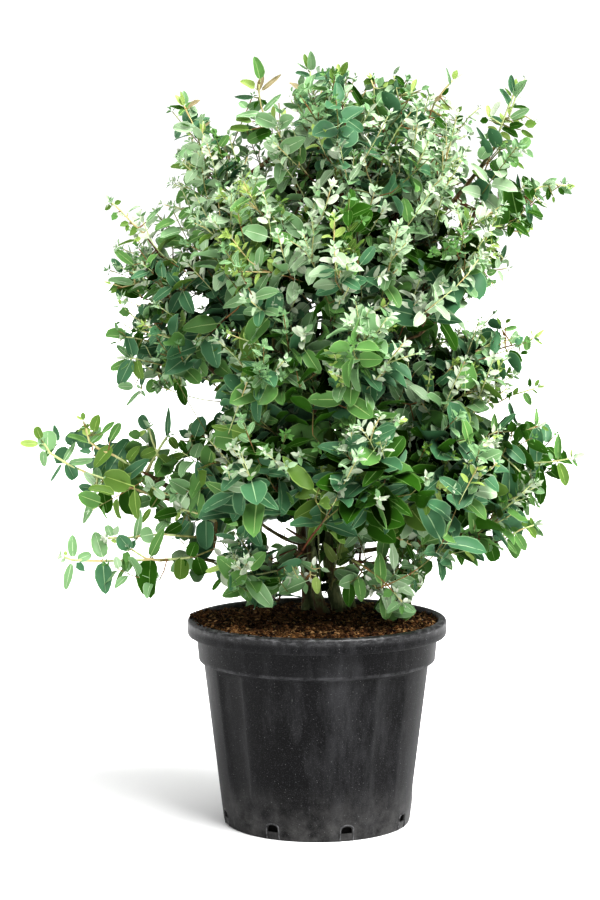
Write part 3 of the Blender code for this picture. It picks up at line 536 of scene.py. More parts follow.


# The shoots that stand out against the sky, read off the photograph:
# depth, places of the stem, and each leaf's foot, tip, width and tint.
READ_SHOOTS = {
    "left_arm_a": (-0.03, ((190, 503), (165, 499), (140, 491), (118, 483), (90, 474), (66, 463), (50, 453), (44, 444)), (
        (48, 452, 47, 430, 20, "sage"), (41, 439, 36, 427, 10, "fresh"), (39, 444, 20, 443, 8, "lime"),
        (43, 450, 44, 467, 8, "sage"), (63, 462, 76, 442, 6, "sage"), (62, 463, 50, 483, 3, "teal"),
        (66, 462, 75, 479, 13, "teal"), (68, 462, 92, 461, 8, "sage"), (95, 484, 84, 472, 8, "bloom"),
        (97, 484, 97, 467, 10, "sage"), (97, 487, 113, 485, 10, "sage"), (93, 488, 78, 487, 9, "teal"),
        (103, 489, 107, 512, 16, "green"), (96, 492, 84, 522, 9, "sage"), (106, 475, 130, 438, 19, "teal"),
        (128, 488, 132, 514, 23, "green"), (118, 484, 147, 460, 13, "teal"), (95, 486, 90, 479, 5, "pale"),
        (96, 486, 102, 481, 5, "pale"), (98, 488, 94, 495, 5, "bloom"), (118, 482, 108, 470, 9, "fresh"))),
    "left_arm_b": (-0.02, ((150, 476), (130, 465), (108, 452), (92, 446), (88, 436), (86, 428)), (
        (112, 446, 94, 466, 13, "fresh"), (88, 443, 68, 435, 7, "leaf"), (90, 443, 103, 433, 7, "leaf"),
        (89, 442, 100, 428, 8, "sage"), (87, 437, 86, 426, 9, "lime"), (94, 432, 97, 416, 11, "fresh"),
        (102, 434, 114, 422, 6, "leaf"), (110, 441, 120, 423, 9, "leaf"), (92, 452, 80, 450, 7, "teal"),
        (95, 449, 112, 446, 5, "teal"), (90, 424, 77, 431, 4, "fresh"), (83, 421, 83, 412, 5, "fresh"),
        (83, 420, 76, 416, 3, "lime"), (128, 462, 138, 446, 10, "fresh"), (122, 458, 126, 476, 11, "fresh"))),
    "left_arm_c": (-0.02, ((160, 478), (158, 455), (152, 440), (149, 428)), (
        (148, 430, 140, 415, 11, "teal"), (149, 426, 154, 453, 9, "sage"), (146, 430, 138, 437, 6, "lime"),
        (150, 428, 144, 420, 4, "bloom"), (156, 450, 142, 456, 11, "fresh"), (158, 456, 170, 466, 13, "fresh"))),
    "left_arm_hook": (-0.02, ((146, 474), (157, 452), (167, 437)), (
        (167, 438, 169, 409, 6, "teal"), (169, 437, 178, 449, 9, "fresh"))),
    "left_low_a": (-0.01, ((178, 364), (180, 376), (181, 386)), (
        (181, 385, 185, 405, 11, "green"), (179, 378, 175, 391, 7, "green"), (176, 368, 158, 388, 9, "sage"))),
    "left_arm_d": (-0.02, ((214, 478), (202, 464), (192, 448), (190, 436)), (
        (190, 438, 180, 430, 10, "teal"), (190, 434, 192, 422, 6, "bloom"), (195, 437, 202, 418, 15, "teal"),
        (195, 440, 199, 461, 15, "teal"), (191, 440, 187, 450, 6, "sage"), (205, 437, 214, 420, 9, "green"),
        (192, 434, 184, 436, 5, "pale"), (186, 455, 166, 460, 9, "fresh"), (180, 440, 187, 453, 9, "green"),
        (204, 446, 214, 462, 13, "green"))),
    "left_arm_e": (-0.035, ((204, 507), (178, 498), (160, 492), (152, 487)), (
        (153, 488, 146, 476, 8, "bloom"), (154, 488, 165, 481, 6, "sage"), (154, 489, 164, 498, 9, "bloom"),
        (151, 488, 143, 489, 7, "bloom"), (160, 492, 151, 508, 10, "green"), (151, 508, 142, 522, 6, "fresh"),
        (165, 493, 181, 479, 8, "sage"), (171, 496, 191, 486, 9, "sage"), (184, 497, 194, 482, 12, "green"))),
    "left_arm_f": (-0.045, ((216, 522), (200, 514), (181, 509)), (
        (181, 508, 188, 492, 10, "pale"), (180, 509, 172, 504, 7, "pale"), (181, 512, 176, 521, 9, "lime"),
        (184, 512, 197, 517, 9, "bloom"), (181, 507, 173, 500, 4, "tip"), (178, 512, 155, 517, 12, "green"),
        (190, 512, 199, 495, 10, "sage"), (197, 513, 211, 490, 14, "teal"), (190, 521, 176, 538, 15, "teal"),
        (206, 520, 206, 548, 19, "teal"), (182, 524, 165, 534, 12, "green"), (200, 518, 216, 507, 9, "sage"))),
    "low_arm_a": (-0.06, ((214, 549), (196, 556), (176, 559), (145, 560), (100, 561), (72, 560), (64, 557)), (
        (73, 558, 72, 536, 10, "sage"), (72, 562, 65, 589, 9, "sage"), (77, 560, 91, 554, 10, "sage"),
        (76, 562, 85, 571, 14, "teal"), (103, 559, 95, 531, 16, "sage"), (103, 561, 105, 593, 18, "teal"),
        (125, 557, 127, 571, 12, "leaf"), (126, 566, 115, 583, 4, "leaf"), (151, 558, 146, 594, 25, "green"),
        (150, 557, 163, 530, 10, "leaf"), (152, 556, 158, 543, 9, "leaf"), (181, 558, 181, 579, 19, "fresh"),
        (183, 556, 180, 568, 12, "green"), (197, 556, 203, 577, 16, "green"), (64, 557, 55, 558, 5, "pale"),
        (65, 556, 66, 551, 6, "lime"), (66, 558, 61, 562, 4, "bloom"), (190, 557, 195, 543, 13, "green"))),
    "low_arm_b": (-0.055, ((182, 536), (155, 534), (138, 537), (120, 538), (108, 538)), (
        (154, 534, 141, 536, 18, "sage"), (156, 533, 165, 522, 9, "sage"), (135, 541, 141, 512, 8, "sage"),
        (112, 537, 107, 525, 9, "sage"), (114, 536, 119, 525, 9, "bloom"), (108, 538, 101, 533, 5, "tip"),
        (107, 539, 104, 544, 6, "pale"), (110, 540, 118, 542, 4, "lime"), (106, 538, 100, 540, 3, "tip"))),
    "low_arm_c": (-0.06, ((160, 561), (145, 558), (131, 549)), (
        (130, 549, 119, 536, 15, "teal"), (131, 549, 136, 540, 9, "teal"), (128, 551, 125, 562, 9, "leaf"))),
    "top_left_a": (0.0, ((210, 174), (203, 155), (198, 138), (192, 122), (187, 112), (184, 106)), (
        (184, 106, 176, 95, 7, "lime"), (185, 105, 184, 91, 8, "sage"), (184, 106, 181, 92, 4, "lime"),
        (187, 110, 170, 105, 5, "green"), (188, 109, 198, 99, 6, "bronze"), (191, 118, 195, 106, 9, "bloom"),
        (194, 129, 173, 127, 12, "bloom"), (192, 126, 181, 122, 5, "green"), (203, 133, 201, 119, 6, "lime"),
        (205, 133, 210, 144, 10, "bloom"), (204, 127, 210, 122, 4, "bronze"), (203, 152, 178, 156, 15, "sage"),
        (200, 166, 170, 165, 9, "fresh"), (198, 165, 188, 181, 14, "fresh"), (199, 144, 181, 149, 7, "bloom"),
        (206, 160, 218, 166, 10, "sage"), (206, 166, 214, 152, 8, "fresh"))),
    "top_spray_a": (0.0, ((277, 152), (268, 128), (263, 112), (259, 98), (259, 84)), (
        (260, 80, 255, 57, 11, "leaf"), (258, 92, 263, 76, 6, "bronze"), (261, 91, 281, 74, 5, "bronze"),
        (255, 88, 241, 81, 9, "lime"), (254, 97, 235, 97, 5, "teal"), (263, 112, 280, 94, 6, "sage"),
        (262, 113, 237, 115, 7, "sage"), (259, 101, 254, 109, 7, "green"), (262, 100, 267, 105, 5, "green"),
        (252, 122, 237, 118, 7, "fresh"), (263, 118, 274, 115, 11, "sage"), (276, 126, 272, 107, 7, "lime"),
        (282, 119, 285, 107, 5, "lime"), (250, 130, 230, 128, 8, "fresh"), (270, 128, 256, 121, 10, "sage"),
        (256, 137, 270, 131, 12, "green"), (262, 134, 248, 141, 12, "leaf"))),
    # Its deep leaves are near black: painted shade between the stems.
    "between_stems": (0.045, ((322, 598), (320, 575), (319, 550), (318, 532)), (
        (320, 560, 312, 538, 12, "deep"), (320, 565, 331, 545, 12, "green"), (321, 580, 312, 562, 12, "green"),
        (321, 582, 330, 566, 11, "deep"), (321, 590, 314, 578, 9, "green"), (321, 592, 329, 582, 9, "deep"),
        (319, 545, 322, 526, 11, "deep"), (321, 598, 313, 590, 9, "green"))),
    "behind_stems": (0.025, ((331, 590), (334, 572), (338, 552), (342, 536)), (
        (339, 560, 346, 533, 14, "lime"), (337, 566, 354, 552, 13, "fresh"), (335, 572, 353, 572, 12, "lime"),
        (336, 562, 325, 545, 10, "lime"), (341, 545, 333, 532, 9, "fresh"), (334, 578, 348, 586, 10, "fresh"))),
    "top_a": (0.0, ((320, 130), (316, 108), (312, 88), (310, 72)), (
        (311, 71, 311, 52, 9, "sage"), (309, 70, 304, 54, 5, "fresh"), (308, 70, 297, 63, 2, "sage"),
        (311, 78, 296, 72, 6, "teal"), (312, 78, 332, 74, 9, "teal"), (314, 88, 293, 92, 13, "sage"),
        (314, 88, 324, 80, 9, "bloom"), (313, 107, 293, 96, 10, "teal"), (301, 90, 290, 82, 7, "bronze"),
        (318, 105, 334, 96, 10, "bloom"), (308, 112, 298, 105, 8, "fresh"), (318, 110, 330, 118, 10, "green"))),
    "top_b": (0.0, ((346, 128), (342, 105), (339, 90), (340, 80)), (
        (341, 80, 346, 62, 10, "fresh"), (339, 80, 338, 64, 5, "lime"), (338, 86, 331, 69, 10, "fresh"),
        (341, 91, 353, 91, 5, "bronze"), (343, 94, 352, 84, 7, "bloom"), (367, 112, 348, 81, 8, "green"),
        (350, 114, 358, 103, 8, "fresh"), (340, 100, 330, 94, 8, "bloom"))),
    "top_c": (0.02, ((372, 128), (374, 105), (374, 88), (371, 80)), (
        (372, 82, 363, 81, 7, "fresh"), (374, 83, 369, 76, 5, "green"), (375, 84, 380, 78, 6, "sage"),
        (378, 88, 383, 77, 7, "sage"), (383, 88, 388, 82, 4, "lime"), (376, 88, 374, 99, 9, "sage"),
        (371, 79, 366, 75, 3, "lime"), (371, 79, 370, 72, 3, "lime"), (374, 98, 366, 92, 7, "bloom"))),
    "top_d": (0.02, ((402, 128), (400, 105), (396, 88), (394, 76)), (
        (393, 75, 400, 66, 5, "bloom"), (394, 76, 405, 84, 6, "green"), (395, 80, 388, 84, 6, "fresh"),
        (400, 88, 405, 95, 5, "green"), (396, 88, 385, 90, 8, "bloom"), (412, 92, 416, 79, 5, "lime"),
        (418, 94, 406, 95, 5, "bloom"), (411, 98, 424, 111, 7, "sage"), (421, 90, 429, 86, 5, "sage"),
        (420, 92, 426, 99, 5, "fresh"))),
    "top_e": (0.0, ((424, 130), (434, 104), (444, 90), (453, 80)), (
        (453, 80, 457, 70, 6, "lime"), (454, 80, 463, 74, 3, "pale"), (450, 86, 448, 69, 3, "sage"),
        (442, 96, 448, 88, 6, "green"), (441, 96, 435, 101, 5, "bronze"), (446, 98, 452, 105, 4, "bloom"),
        (450, 110, 459, 100, 7, "pale"), (450, 110, 442, 104, 5, "lime"), (456, 112, 462, 107, 5, "fresh"),
        (425, 111, 441, 118, 6, "sage"), (435, 118, 446, 128, 8, "green"), (448, 118, 441, 115, 6, "fresh"),
        (455, 121, 463, 116, 7, "green"))),
    "right_top_a": (0.0, ((482, 180), (489, 158), (497, 138), (504, 118), (511, 101), (514, 94)), (
        (515, 98, 526, 80, 11, "sage"), (514, 94, 510, 76, 7, "teal"), (515, 90, 516, 79, 7, "lime"),
        (510, 107, 501, 89, 7, "teal"), (512, 97, 504, 88, 4, "fresh"), (512, 107, 529, 107, 4, "green"),
        (510, 119, 528, 109, 8, "sage"), (512, 121, 524, 115, 8, "fresh"), (502, 126, 491, 115, 9, "teal"),
        (501, 128, 519, 135, 8, "green"), (509, 127, 522, 124, 8, "green"), (524, 125, 536, 123, 9, "fresh"),
        (521, 130, 532, 137, 5, "fresh"), (489, 147, 480, 158, 14, "sage"), (488, 147, 476, 125, 4, "teal"),
        (489, 163, 504, 171, 13, "green"), (491, 117, 499, 101, 7, "pale"), (489, 118, 488, 104, 5, "lime"),
        (489, 120, 480, 121, 7, "green"), (482, 176, 472, 170, 8, "fresh"))),
    "right_top_b": (0.0, ((489, 162), (500, 150), (511, 147), (520, 149)), (
        (497, 149, 513, 141, 8, "sage"), (511, 150, 522, 144, 9, "sage"), (520, 149, 530, 138, 10, "leaf"),
        (521, 150, 534, 157, 7, "sage"), (509, 151, 516, 166, 11, "leaf"), (508, 151, 520, 154, 8, "bloom"),
        (512, 161, 524, 167, 4, "fresh"))),
    "right_spray_a": (0.0, ((494, 214), (512, 206), (525, 196), (540, 187), (556, 184), (566, 186)), (
        (523, 196, 515, 176, 5, "teal"), (520, 200, 517, 189, 6, "sage"), (532, 190, 528, 180, 4, "sage"),
        (540, 186, 534, 180, 6, "bloom"), (545, 185, 556, 178, 6, "sage"), (549, 187, 548, 200, 6, "green"),
        (553, 196, 554, 203, 4, "fresh"), (558, 187, 564, 195, 5, "green"), (565, 187, 575, 186, 5, "lime"),
        (563, 185, 565, 177, 4, "sage"), (536, 192, 543, 202, 5, "sage"), (541, 203, 548, 206, 3, "pale"),
        (527, 203, 531, 222, 7, "teal"), (519, 201, 513, 218, 14, "green"), (513, 216, 509, 236, 8, "green"),
        (512, 216, 522, 237, 4, "teal"), (533, 203, 537, 213, 5, "leaf"), (525, 217, 520, 229, 9, "fresh"),
        (529, 217, 529, 228, 7, "fresh"), (498, 192, 510, 186, 7, "fresh"))),
    "right_upper_a": (0.0, ((470, 242), (484, 246), (496, 252), (503, 258)), (
        (496, 249, 489, 263, 12, "green"), (500, 261, 507, 244, 5, "teal"), (497, 258, 492, 269, 8, "leaf"),
        (501, 262, 509, 262, 8, "bloom"), (485, 243, 497, 236, 12, "green"))),
    "left_up_a": (0.0, ((160, 256), (148, 238), (133, 224), (121, 211), (112, 203)), (
        (112, 204, 106, 195, 4, "bloom"), (112, 206, 104, 209, 6, "fresh"), (114, 204, 121, 201, 5, "fresh"),
        (118, 212, 112, 220, 7, "leaf"), (128, 213, 139, 204, 4, "bloom"), (124, 216, 117, 214, 5, "pale"),
        (129, 222, 120, 226, 6, "fresh"), (128, 224, 127, 232, 6, "fresh"), (138, 226, 130, 236, 9, "fresh"),
        (146, 222, 160, 207, 5, "sage"), (148, 229, 158, 216, 13, "bloom"), (136, 240, 118, 245, 3, "fresh"),
        (142, 236, 133, 243, 6, "lime"), (136, 226, 133, 216, 6, "pale"), (134, 265, 115, 250, 9, "leaf"))),
    "left_mid_a": (0.0, ((165, 300), (152, 300), (141, 297), (135, 284), (133, 268)), (
        (135, 285, 108, 277, 9, "sage"), (141, 297, 118, 285, 16, "green"), (134, 281, 160, 260, 14, "teal"),
        (134, 267, 124, 270, 13, "leaf"), (134, 268, 143, 268, 8, "leaf"), (133, 262, 128, 252, 9, "sage"),
        (117, 288, 111, 293, 5, "fresh"), (112, 284, 103, 282, 4, "lime"), (140, 280, 150, 290, 10, "bloom"))),
    "left_mid_b": (0.0, ((162, 324), (148, 322), (137, 320), (129, 312)), (
        (131, 313, 119, 312, 13, "leaf"), (124, 306, 127, 297, 6, "bloom"), (121, 305, 119, 299, 4, "lime"),
        (121, 307, 111, 307, 2, "bloom"), (148, 304, 141, 315, 13, "teal"), (143, 326, 131, 332, 5, "green"))),
    "left_lobe_a": (-0.01, ((160, 345), (148, 341), (136, 338), (126, 337)), (
        (127, 337, 106, 334, 14, "leaf"), (118, 331, 114, 321, 5, "sage"), (118, 342, 109, 344, 2, "leaf"),
        (133, 358, 127, 333, 13, "teal"), (137, 352, 141, 329, 9, "green"))),
    "left_lobe_b": (-0.01, ((165, 366), (150, 362), (140, 360), (133, 358)), (
        (132, 359, 119, 385, 15, "teal"), (131, 358, 117, 345, 7, "sage"), (127, 358, 115, 358, 4, "pale"),
        (129, 361, 111, 369, 9, "leaf"), (134, 387, 118, 386, 9, "sage"), (137, 360, 140, 378, 12, "fresh"))),
    "left_lobe_c": (0.0, ((172, 372), (158, 374), (146, 376), (142, 384), (141, 389)), (
        (141, 390, 125, 406, 4, "sage"), (141, 386, 144, 368, 5, "teal"), (155, 379, 149, 392, 12, "leaf"),
        (160, 384, 157, 394, 8, "sage"), (165, 379, 168, 390, 8, "leaf"), (152, 376, 160, 366, 9, "fresh"))),
    "right_mid_a": (0.0, ((488, 353), (505, 347), (518, 344), (528, 340), (533, 338)), (
        (507, 352, 522, 361, 9, "green"), (510, 344, 517, 331, 8, "sage"), (527, 351, 527, 336, 8, "leaf"),
        (533, 338, 545, 330, 4, "lime"), (534, 339, 543, 345, 3, "lime"), (533, 337, 530, 328, 2, "lime"),
        (503, 330, 517, 327, 5, "leaf"), (501, 326, 497, 317, 3, "fresh"), (505, 323, 511, 319, 4, "fresh"),
        (520, 354, 528, 352, 5, "green"), (496, 346, 497, 332, 10, "teal"), (512, 365, 520, 371, 4, "green"))),
    "right_mid_b": (0.0, ((490, 406), (504, 398), (516, 394), (526, 391), (535, 388)), (
        (524, 392, 531, 405, 7, "leaf"), (530, 388, 530, 378, 6, "green"), (531, 389, 537, 394, 5, "fresh"),
        (535, 387, 539, 379, 4, "fresh"), (537, 387, 546, 386, 3, "lime"), (513, 395, 518, 388, 5, "fresh"),
        (509, 401, 516, 424, 5, "teal"), (506, 398, 512, 392, 5, "green"))),
    "right_mid_c": (0.0, ((476, 438), (496, 433), (512, 431), (526, 430), (535, 427)), (
        (497, 433, 514, 413, 8, "teal"), (495, 438, 494, 412, 7, "leaf"), (512, 433, 512, 422, 12, "green"),
        (529, 430, 525, 421, 8, "leaf"), (535, 427, 538, 408, 5, "leaf"), (541, 426, 548, 431, 5, "fresh"),
        (510, 440, 528, 452, 6, "green"), (536, 428, 550, 420, 3, "pale"))),
    "right_tip_a": (0.0, ((496, 446), (518, 455), (532, 463), (548, 462), (562, 460), (572, 458)), (
        (537, 464, 536, 427, 16, "teal"), (539, 466, 541, 504, 12, "green"), (558, 460, 558, 437, 8, "leaf"),
        (558, 462, 568, 485, 11, "fresh"), (551, 464, 557, 471, 10, "green"), (553, 460, 547, 452, 7, "sage"),
        (566, 459, 563, 450, 5, "green"), (572, 457, 585, 454, 5, "bloom"), (571, 459, 577, 467, 5, "leaf"),
        (571, 457, 571, 448, 3, "lime"))),
    "right_low_c": (-0.02, ((490, 446), (502, 455), (512, 464), (520, 472)), (
        (509, 463, 510, 517, 18, "teal"), (507, 446, 525, 462, 14, "teal"), (520, 470, 526, 484, 12, "green"))),
    "right_low_e": (0.0, ((476, 506), (500, 503), (515, 498), (528, 491), (535, 487)), (
        (518, 497, 519, 480, 6, "leaf"), (523, 496, 525, 508, 5, "green"), (529, 491, 534, 507, 6, "leaf"),
        (512, 499, 508, 493, 6, "fresh"), (535, 487, 543, 480, 4, "pale"), (533, 488, 531, 480, 4, "bloom"),
        (497, 503, 508, 523, 5, "teal"), (486, 506, 490, 513, 9, "green"))),
    "right_low_a": (0.0, ((480, 546), (498, 541), (506, 538), (520, 530), (534, 525)), (
        (490, 544, 495, 561, 15, "green"), (491, 543, 487, 552, 12, "sage"), (500, 541, 495, 528, 10, "teal"),
        (505, 540, 517, 554, 5, "leaf"), (515, 533, 527, 551, 10, "leaf"), (520, 530, 510, 528, 5, "leaf"),
        (527, 527, 522, 521, 6, "fresh"), (528, 527, 536, 538, 8, "fresh"), (533, 525, 530, 517, 4, "fresh"),
        (534, 525, 543, 520, 5, "bloom"), (535, 525, 545, 524, 3, "pale"))),
    "skirt_left_a": (-0.10, ((300, 548), (278, 556), (264, 562), (245, 558), (228, 556)), (
        (258, 552, 262, 533, 14, "green"), (240, 543, 214, 540, 6, "pale"), (240, 542, 255, 533, 3, "pale"),
        (276, 562, 297, 545, 15, "sage"), (262, 549, 256, 567, 13, "sage"), (268, 552, 262, 543, 8, "tip"),
        (268, 572, 270, 551, 8, "pale"), (262, 566, 230, 566, 8, "bloom"), (228, 568, 227, 586, 13, "pale"),
        (222, 556, 214, 548, 6, "tip"), (224, 560, 214, 562, 6, "tip"), (230, 552, 236, 543, 9, "sage"),
        (236, 556, 246, 550, 7, "tip"), (222, 566, 206, 572, 6, "lime"), (250, 560, 240, 552, 8, "pale"),
        (245, 552, 226, 545, 9, "sage"), (222, 578, 212, 590, 5, "green"), (235, 582, 230, 595, 4, "green"))),
    "skirt_left_b": (-0.12, ((302, 552), (284, 568), (262, 574), (246, 576), (236, 574)), (
        (234, 573, 251, 600, 14, "leaf"), (246, 575, 271, 606, 17, "sage"), (262, 574, 268, 590, 12, "leaf"),
        (298, 578, 286, 564, 14, "bloom"), (307, 581, 279, 592, 18, "sage"), (284, 574, 266, 578, 11, "leaf"),
        (280, 582, 262, 584, 9, "green"), (292, 576, 284, 586, 8, "pale"), (246, 578, 232, 588, 9, "leaf"))),
    "skirt_left_c": (-0.11, ((312, 552), (312, 562), (310, 574)), (
        (316, 576, 317, 594, 9, "lime"), (317, 572, 302, 561, 8, "sage"), (313, 566, 316, 556, 7, "tip"),
        (309, 576, 304, 573, 5, "tip"), (309, 577, 312, 583, 5, "tip"), (311, 579, 322, 584, 4, "pale"),
        (306, 578, 296, 577, 6, "tip"), (305, 582, 306, 594, 8, "sage"), (320, 568, 330, 572, 6, "bloom"))),
    "skirt_right_a": (-0.07, ((388, 556), (398, 568), (408, 574), (418, 573)), (
        (410, 562, 409, 575, 4, "teal"), (414, 578, 417, 595, 4, "teal"), (418, 573, 422, 584, 4, "pale"),
        (402, 578, 405, 594, 5, "sage"), (418, 572, 414, 566, 4, "pale"), (398, 570, 392, 562, 5, "green"),
        (390, 556, 399, 552, 6, "green"), (396, 572, 388, 575, 7, "sage"))),
    "skirt_right_b": (-0.10, ((352, 560), (362, 572), (372, 582), (376, 588)), (
        (369, 590, 334, 570, 15, "sage"), (366, 580, 389, 574, 18, "sage"), (372, 584, 385, 600, 12, "pale"),
        (372, 585, 366, 576, 6, "tip"), (374, 584, 382, 580, 6, "tip"), (373, 587, 370, 598, 6, "tip"),
        (371, 586, 364, 588, 5, "tip"), (386, 588, 386, 619, 14, "leaf"), (350, 583, 348, 606, 14, "green"),
        (358, 578, 362, 600, 12, "leaf"), (380, 590, 394, 596, 10, "sage"))),
    "skirt_right_c": (-0.12, ((384, 582), (394, 592), (402, 602)), (
        (400, 603, 387, 611, 9, "sage"), (403, 603, 414, 613, 8, "sage"), (401, 604, 402, 615, 7, "leaf"),
        (403, 602, 408, 598, 4, "tip"), (402, 601, 398, 597, 4, "tip"), (394, 592, 404, 588, 6, "bloom"),
        (392, 590, 384, 596, 9, "leaf"), (404, 602, 412, 601, 4, "pale"))),
    "before_bough_b": (-0.05, ((372, 518), (386, 530), (400, 540), (412, 545)), (
        (386, 530, 381, 560, 13, "leaf"), (392, 530, 396, 549, 14, "green"), (380, 526, 374, 540, 12, "green"),
        (406, 543, 414, 560, 5, "green"), (404, 538, 398, 528, 7, "pale"), (408, 540, 418, 532, 7, "pale"),
        (410, 543, 420, 546, 6, "bloom"), (398, 536, 392, 528, 6, "tip"), (400, 540, 406, 548, 7, "bloom"))),
}


def name_seed(name):
    return SEED + sum(ord(c) * (k + 7) for k, c in enumerate(name))


def tree_of(name):
    return BVHTree.FromPolygons(
        [tuple(p) for p in node_points(name)],
        [tuple(f.vertices) for f in NODES[name].data.polygons],
    )


def is_inside(tree, point):
    place, normal, _, _ = tree.find_nearest(Vector(point))
    return (Vector(point) - place).dot(normal) < 0


def in_ring(px, py, ring):
    x, y, w, h = ring
    return ((px - x) / w) ** 2 + ((py - y) / h) ** 2 < 1


def past_outline(px, py):
    a, b = OUTLINE, np.roll(OUTLINE, -1, axis=0)
    cross = (a[:, 1] > py) != (b[:, 1] > py)
    at = a[cross, 0] + (py - a[cross, 1]) * (b[cross, 0] - a[cross, 0]) / (b[cross, 1] - a[cross, 1])
    return int((at > px).sum()) % 2 == 0


def left_open(point):
    """Whether the photograph shows sky, or a bare stem, at this place."""
    px, py = shown(point)
    if past_outline(px, py):
        return True
    if point[1] < 0.045 and in_ring(px, py, STEMS_SHOW):
        return True
    return any(in_ring(px, py, ring) for ring in SKY)


def fitted(place, way, length, loose=False):
    """The length a leaf can have there, or 0 where it has no room."""
    reach = 0.8 if loose else 1.08
    for share in (1.0, 0.8, 0.64):
        if not left_open(place + way * length * share * reach) and not left_open(place + way * length * share * 0.55):
            return length * share
    return 0


def at_the_edge(point, reach=22):
    """Whether open sky lies close to this place in the photograph's frame."""
    px, py = shown(point)
    for dx, dy in ((1, 0), (-1, 0), (0, 1), (0, -1), (0.7, 0.7), (-0.7, 0.7), (0.7, -0.7), (-0.7, -0.7)):
        x, y = px + dx * reach, py + dy * reach
        if past_outline(x, y) or any(in_ring(x, y, ring) for ring in SKY):
            return True
    return False


class Crown:
    """All the masses as one surface: how deep a place lies, and the way out."""

    def __init__(self):
        verts, faces, shift = [], [], 0
        for name in MASSES:
            points = node_points(name)
            verts += [tuple(p) for p in points]
            faces += [tuple(v + shift for v in f.vertices) for f in NODES[name].data.polygons]
            shift += len(points)
        self.tree = BVHTree.FromPolygons(verts, faces)
        ways = []
        for rise, count in ((-30, 6), (5, 12), (38, 8), (72, 4)):
            for k in range(count):
                turn = 2 * math.pi * (k + 0.3 * (rise > 10)) / count
                flat = math.cos(math.radians(rise))
                ways.append((flat * math.cos(turn), flat * math.sin(turn), math.sin(math.radians(rise))))
        self.ways = np.array(ways)

    def look(self, point):
        depths = []
        for way in self.ways:
            hit = self.tree.ray_cast(Vector(point + way * 0.9), Vector(-way), 0.9)
            depths.append(0.0 if hit[0] is None else 0.9 - hit[3])
        depths = np.array(depths)
        weight = np.exp(-depths / 0.035)
        return depths.min(), unit((self.ways * weight[:, None]).sum(0) + 1e-4 * UP)


def shoot_targets(name, crown, rng):
    """Where the shoots of a mass end: most of them near the crown's surface,
    few along its shaded foot and few deep inside."""
    tree = tree_of(name)
    points = node_points(name)
    low, high = points.min(0), points.max(0)
    tried = rng.uniform(low, high, (2200, 3))
    inside = [p for p in tried if is_inside(tree, p)]
    litres = (high - low).prod() * 1000 * len(inside) / len(tried)
    wanted = max(1, int(SHOOTS_PER_LITRE * SPARSE.get(name, 1.0) * litres**0.9))
    reach = 0.58 * (litres / 1000 / wanted) ** (1 / 3)
    kept, looked = [], 0
    for p in inside:
        if looked > 4 * wanted:
            break
        if any(abs(p[0] - q[0][0]) < reach and ((p - q[0]) ** 2).sum() < reach**2 for q in kept):
            continue
        looked += 1
        depth, out = crown.look(p)
        keep = 1.0 if depth < 0.035 else (0.7 if depth < 0.065 else (0.42 if depth < 0.10 else 0.22))
        level = (p[2] - low[2]) / (high[2] - low[2])
        if level < 0.28 and name not in LARGE_LEAVED:
            keep *= 0.4
        if rng.random() > keep or past_outline(*shown(p)):
            continue
        kept.append((p, depth, out))
        if len(kept) >= wanted:
            break
    return kept


class Branching:
    """Twigs joined to the nearest limb or twig, each one tapering tube."""

    def __init__(self):
        self.points, self.owner = [], []
        self.twigs = []
        for number, (line, radii) in enumerate([*STEM_LINES.values(), *BOUGH_LINES.values()]):
            for k in range(0, len(line), 3):
                if line[k][2] > 0.37:
                    self.points.append(line[k])
                    self.owner.append((None, number))

    def join(self, path, way, rng, read=False):
        """A twig from the nearest point to the path's start, then along it;
        none if it would cross a gap that the photograph shows. A shoot read
        off the photograph takes the way that crosses gaps least."""
        base = path[0]
        points = np.array(self.points)
        off = base - points
        far = np.linalg.norm(off, axis=1)
        # A twig leaves forwards, so a point beyond the base costs more.
        forward = (off @ way) / np.maximum(far, 1e-6)
        cost = far * (1.25 - 0.45 * forward)
        best = None
        for k in np.argsort(cost)[: 40 if read else 16]:
            start = points[k]
            gap = np.linalg.norm(base - start)
            whole = [start]
            if gap > 0.012:
                whole.append((start + base) / 2 + rng.normal(0, 0.05, 3) * gap - 0.04 * gap * UP)
            whole += list(path)
            line, _ = smooth_line(whole, np.zeros(len(whole)), 0.010)
            reach = int(np.argmin(np.linalg.norm(line - base, axis=1)))
            part = line[: reach + (1 if read else 4)]
            crossed = sum(left_open(p) for p in (*part[1:], *((part[1:] + part[:-1]) / 2)))
            if best is None or crossed < best[0]:
                best = (crossed, k, line)
            if not crossed:
                break
        if best[0] and not read:
            return None, 0
        _, k, line = best
        first = int(np.argmin(np.linalg.norm(line - base, axis=1)))
        # It ends where the outline does.
        end = len(line)
        while not read and end > first + 4 and left_open(line[end - 1]):
            end -= 1
        line = line[:end]
        number = len(self.twigs)
        self.twigs.append({"line": line, "parent": self.owner[k], "first": first})
        for i in range(1, max(first + 1, 2)):
            self.points.append(line[i])
            self.owner.append((number, i))
        return line, first

    def weigh(self):
        """Shoots carried beyond each point, for the pipe rule of thickness."""
        load = [np.ones(len(t["line"])) for t in self.twigs]
        for number in range(len(self.twigs) - 1, -1, -1):
            parent, at = self.twigs[number]["parent"]
            if parent is not None:
                load[parent][: at + 1] += load[number][0]
        return load


LEAF_FORMS = {
    # name: (half width against length, where it is widest, bluntness)
    "round": (0.38, 0.47, 0.46),
    "ovate": (0.325, 0.39, 0.64),
    "oval": (0.25, 0.47, 0.52),
    "lance": (0.185, 0.40, 0.74),
}


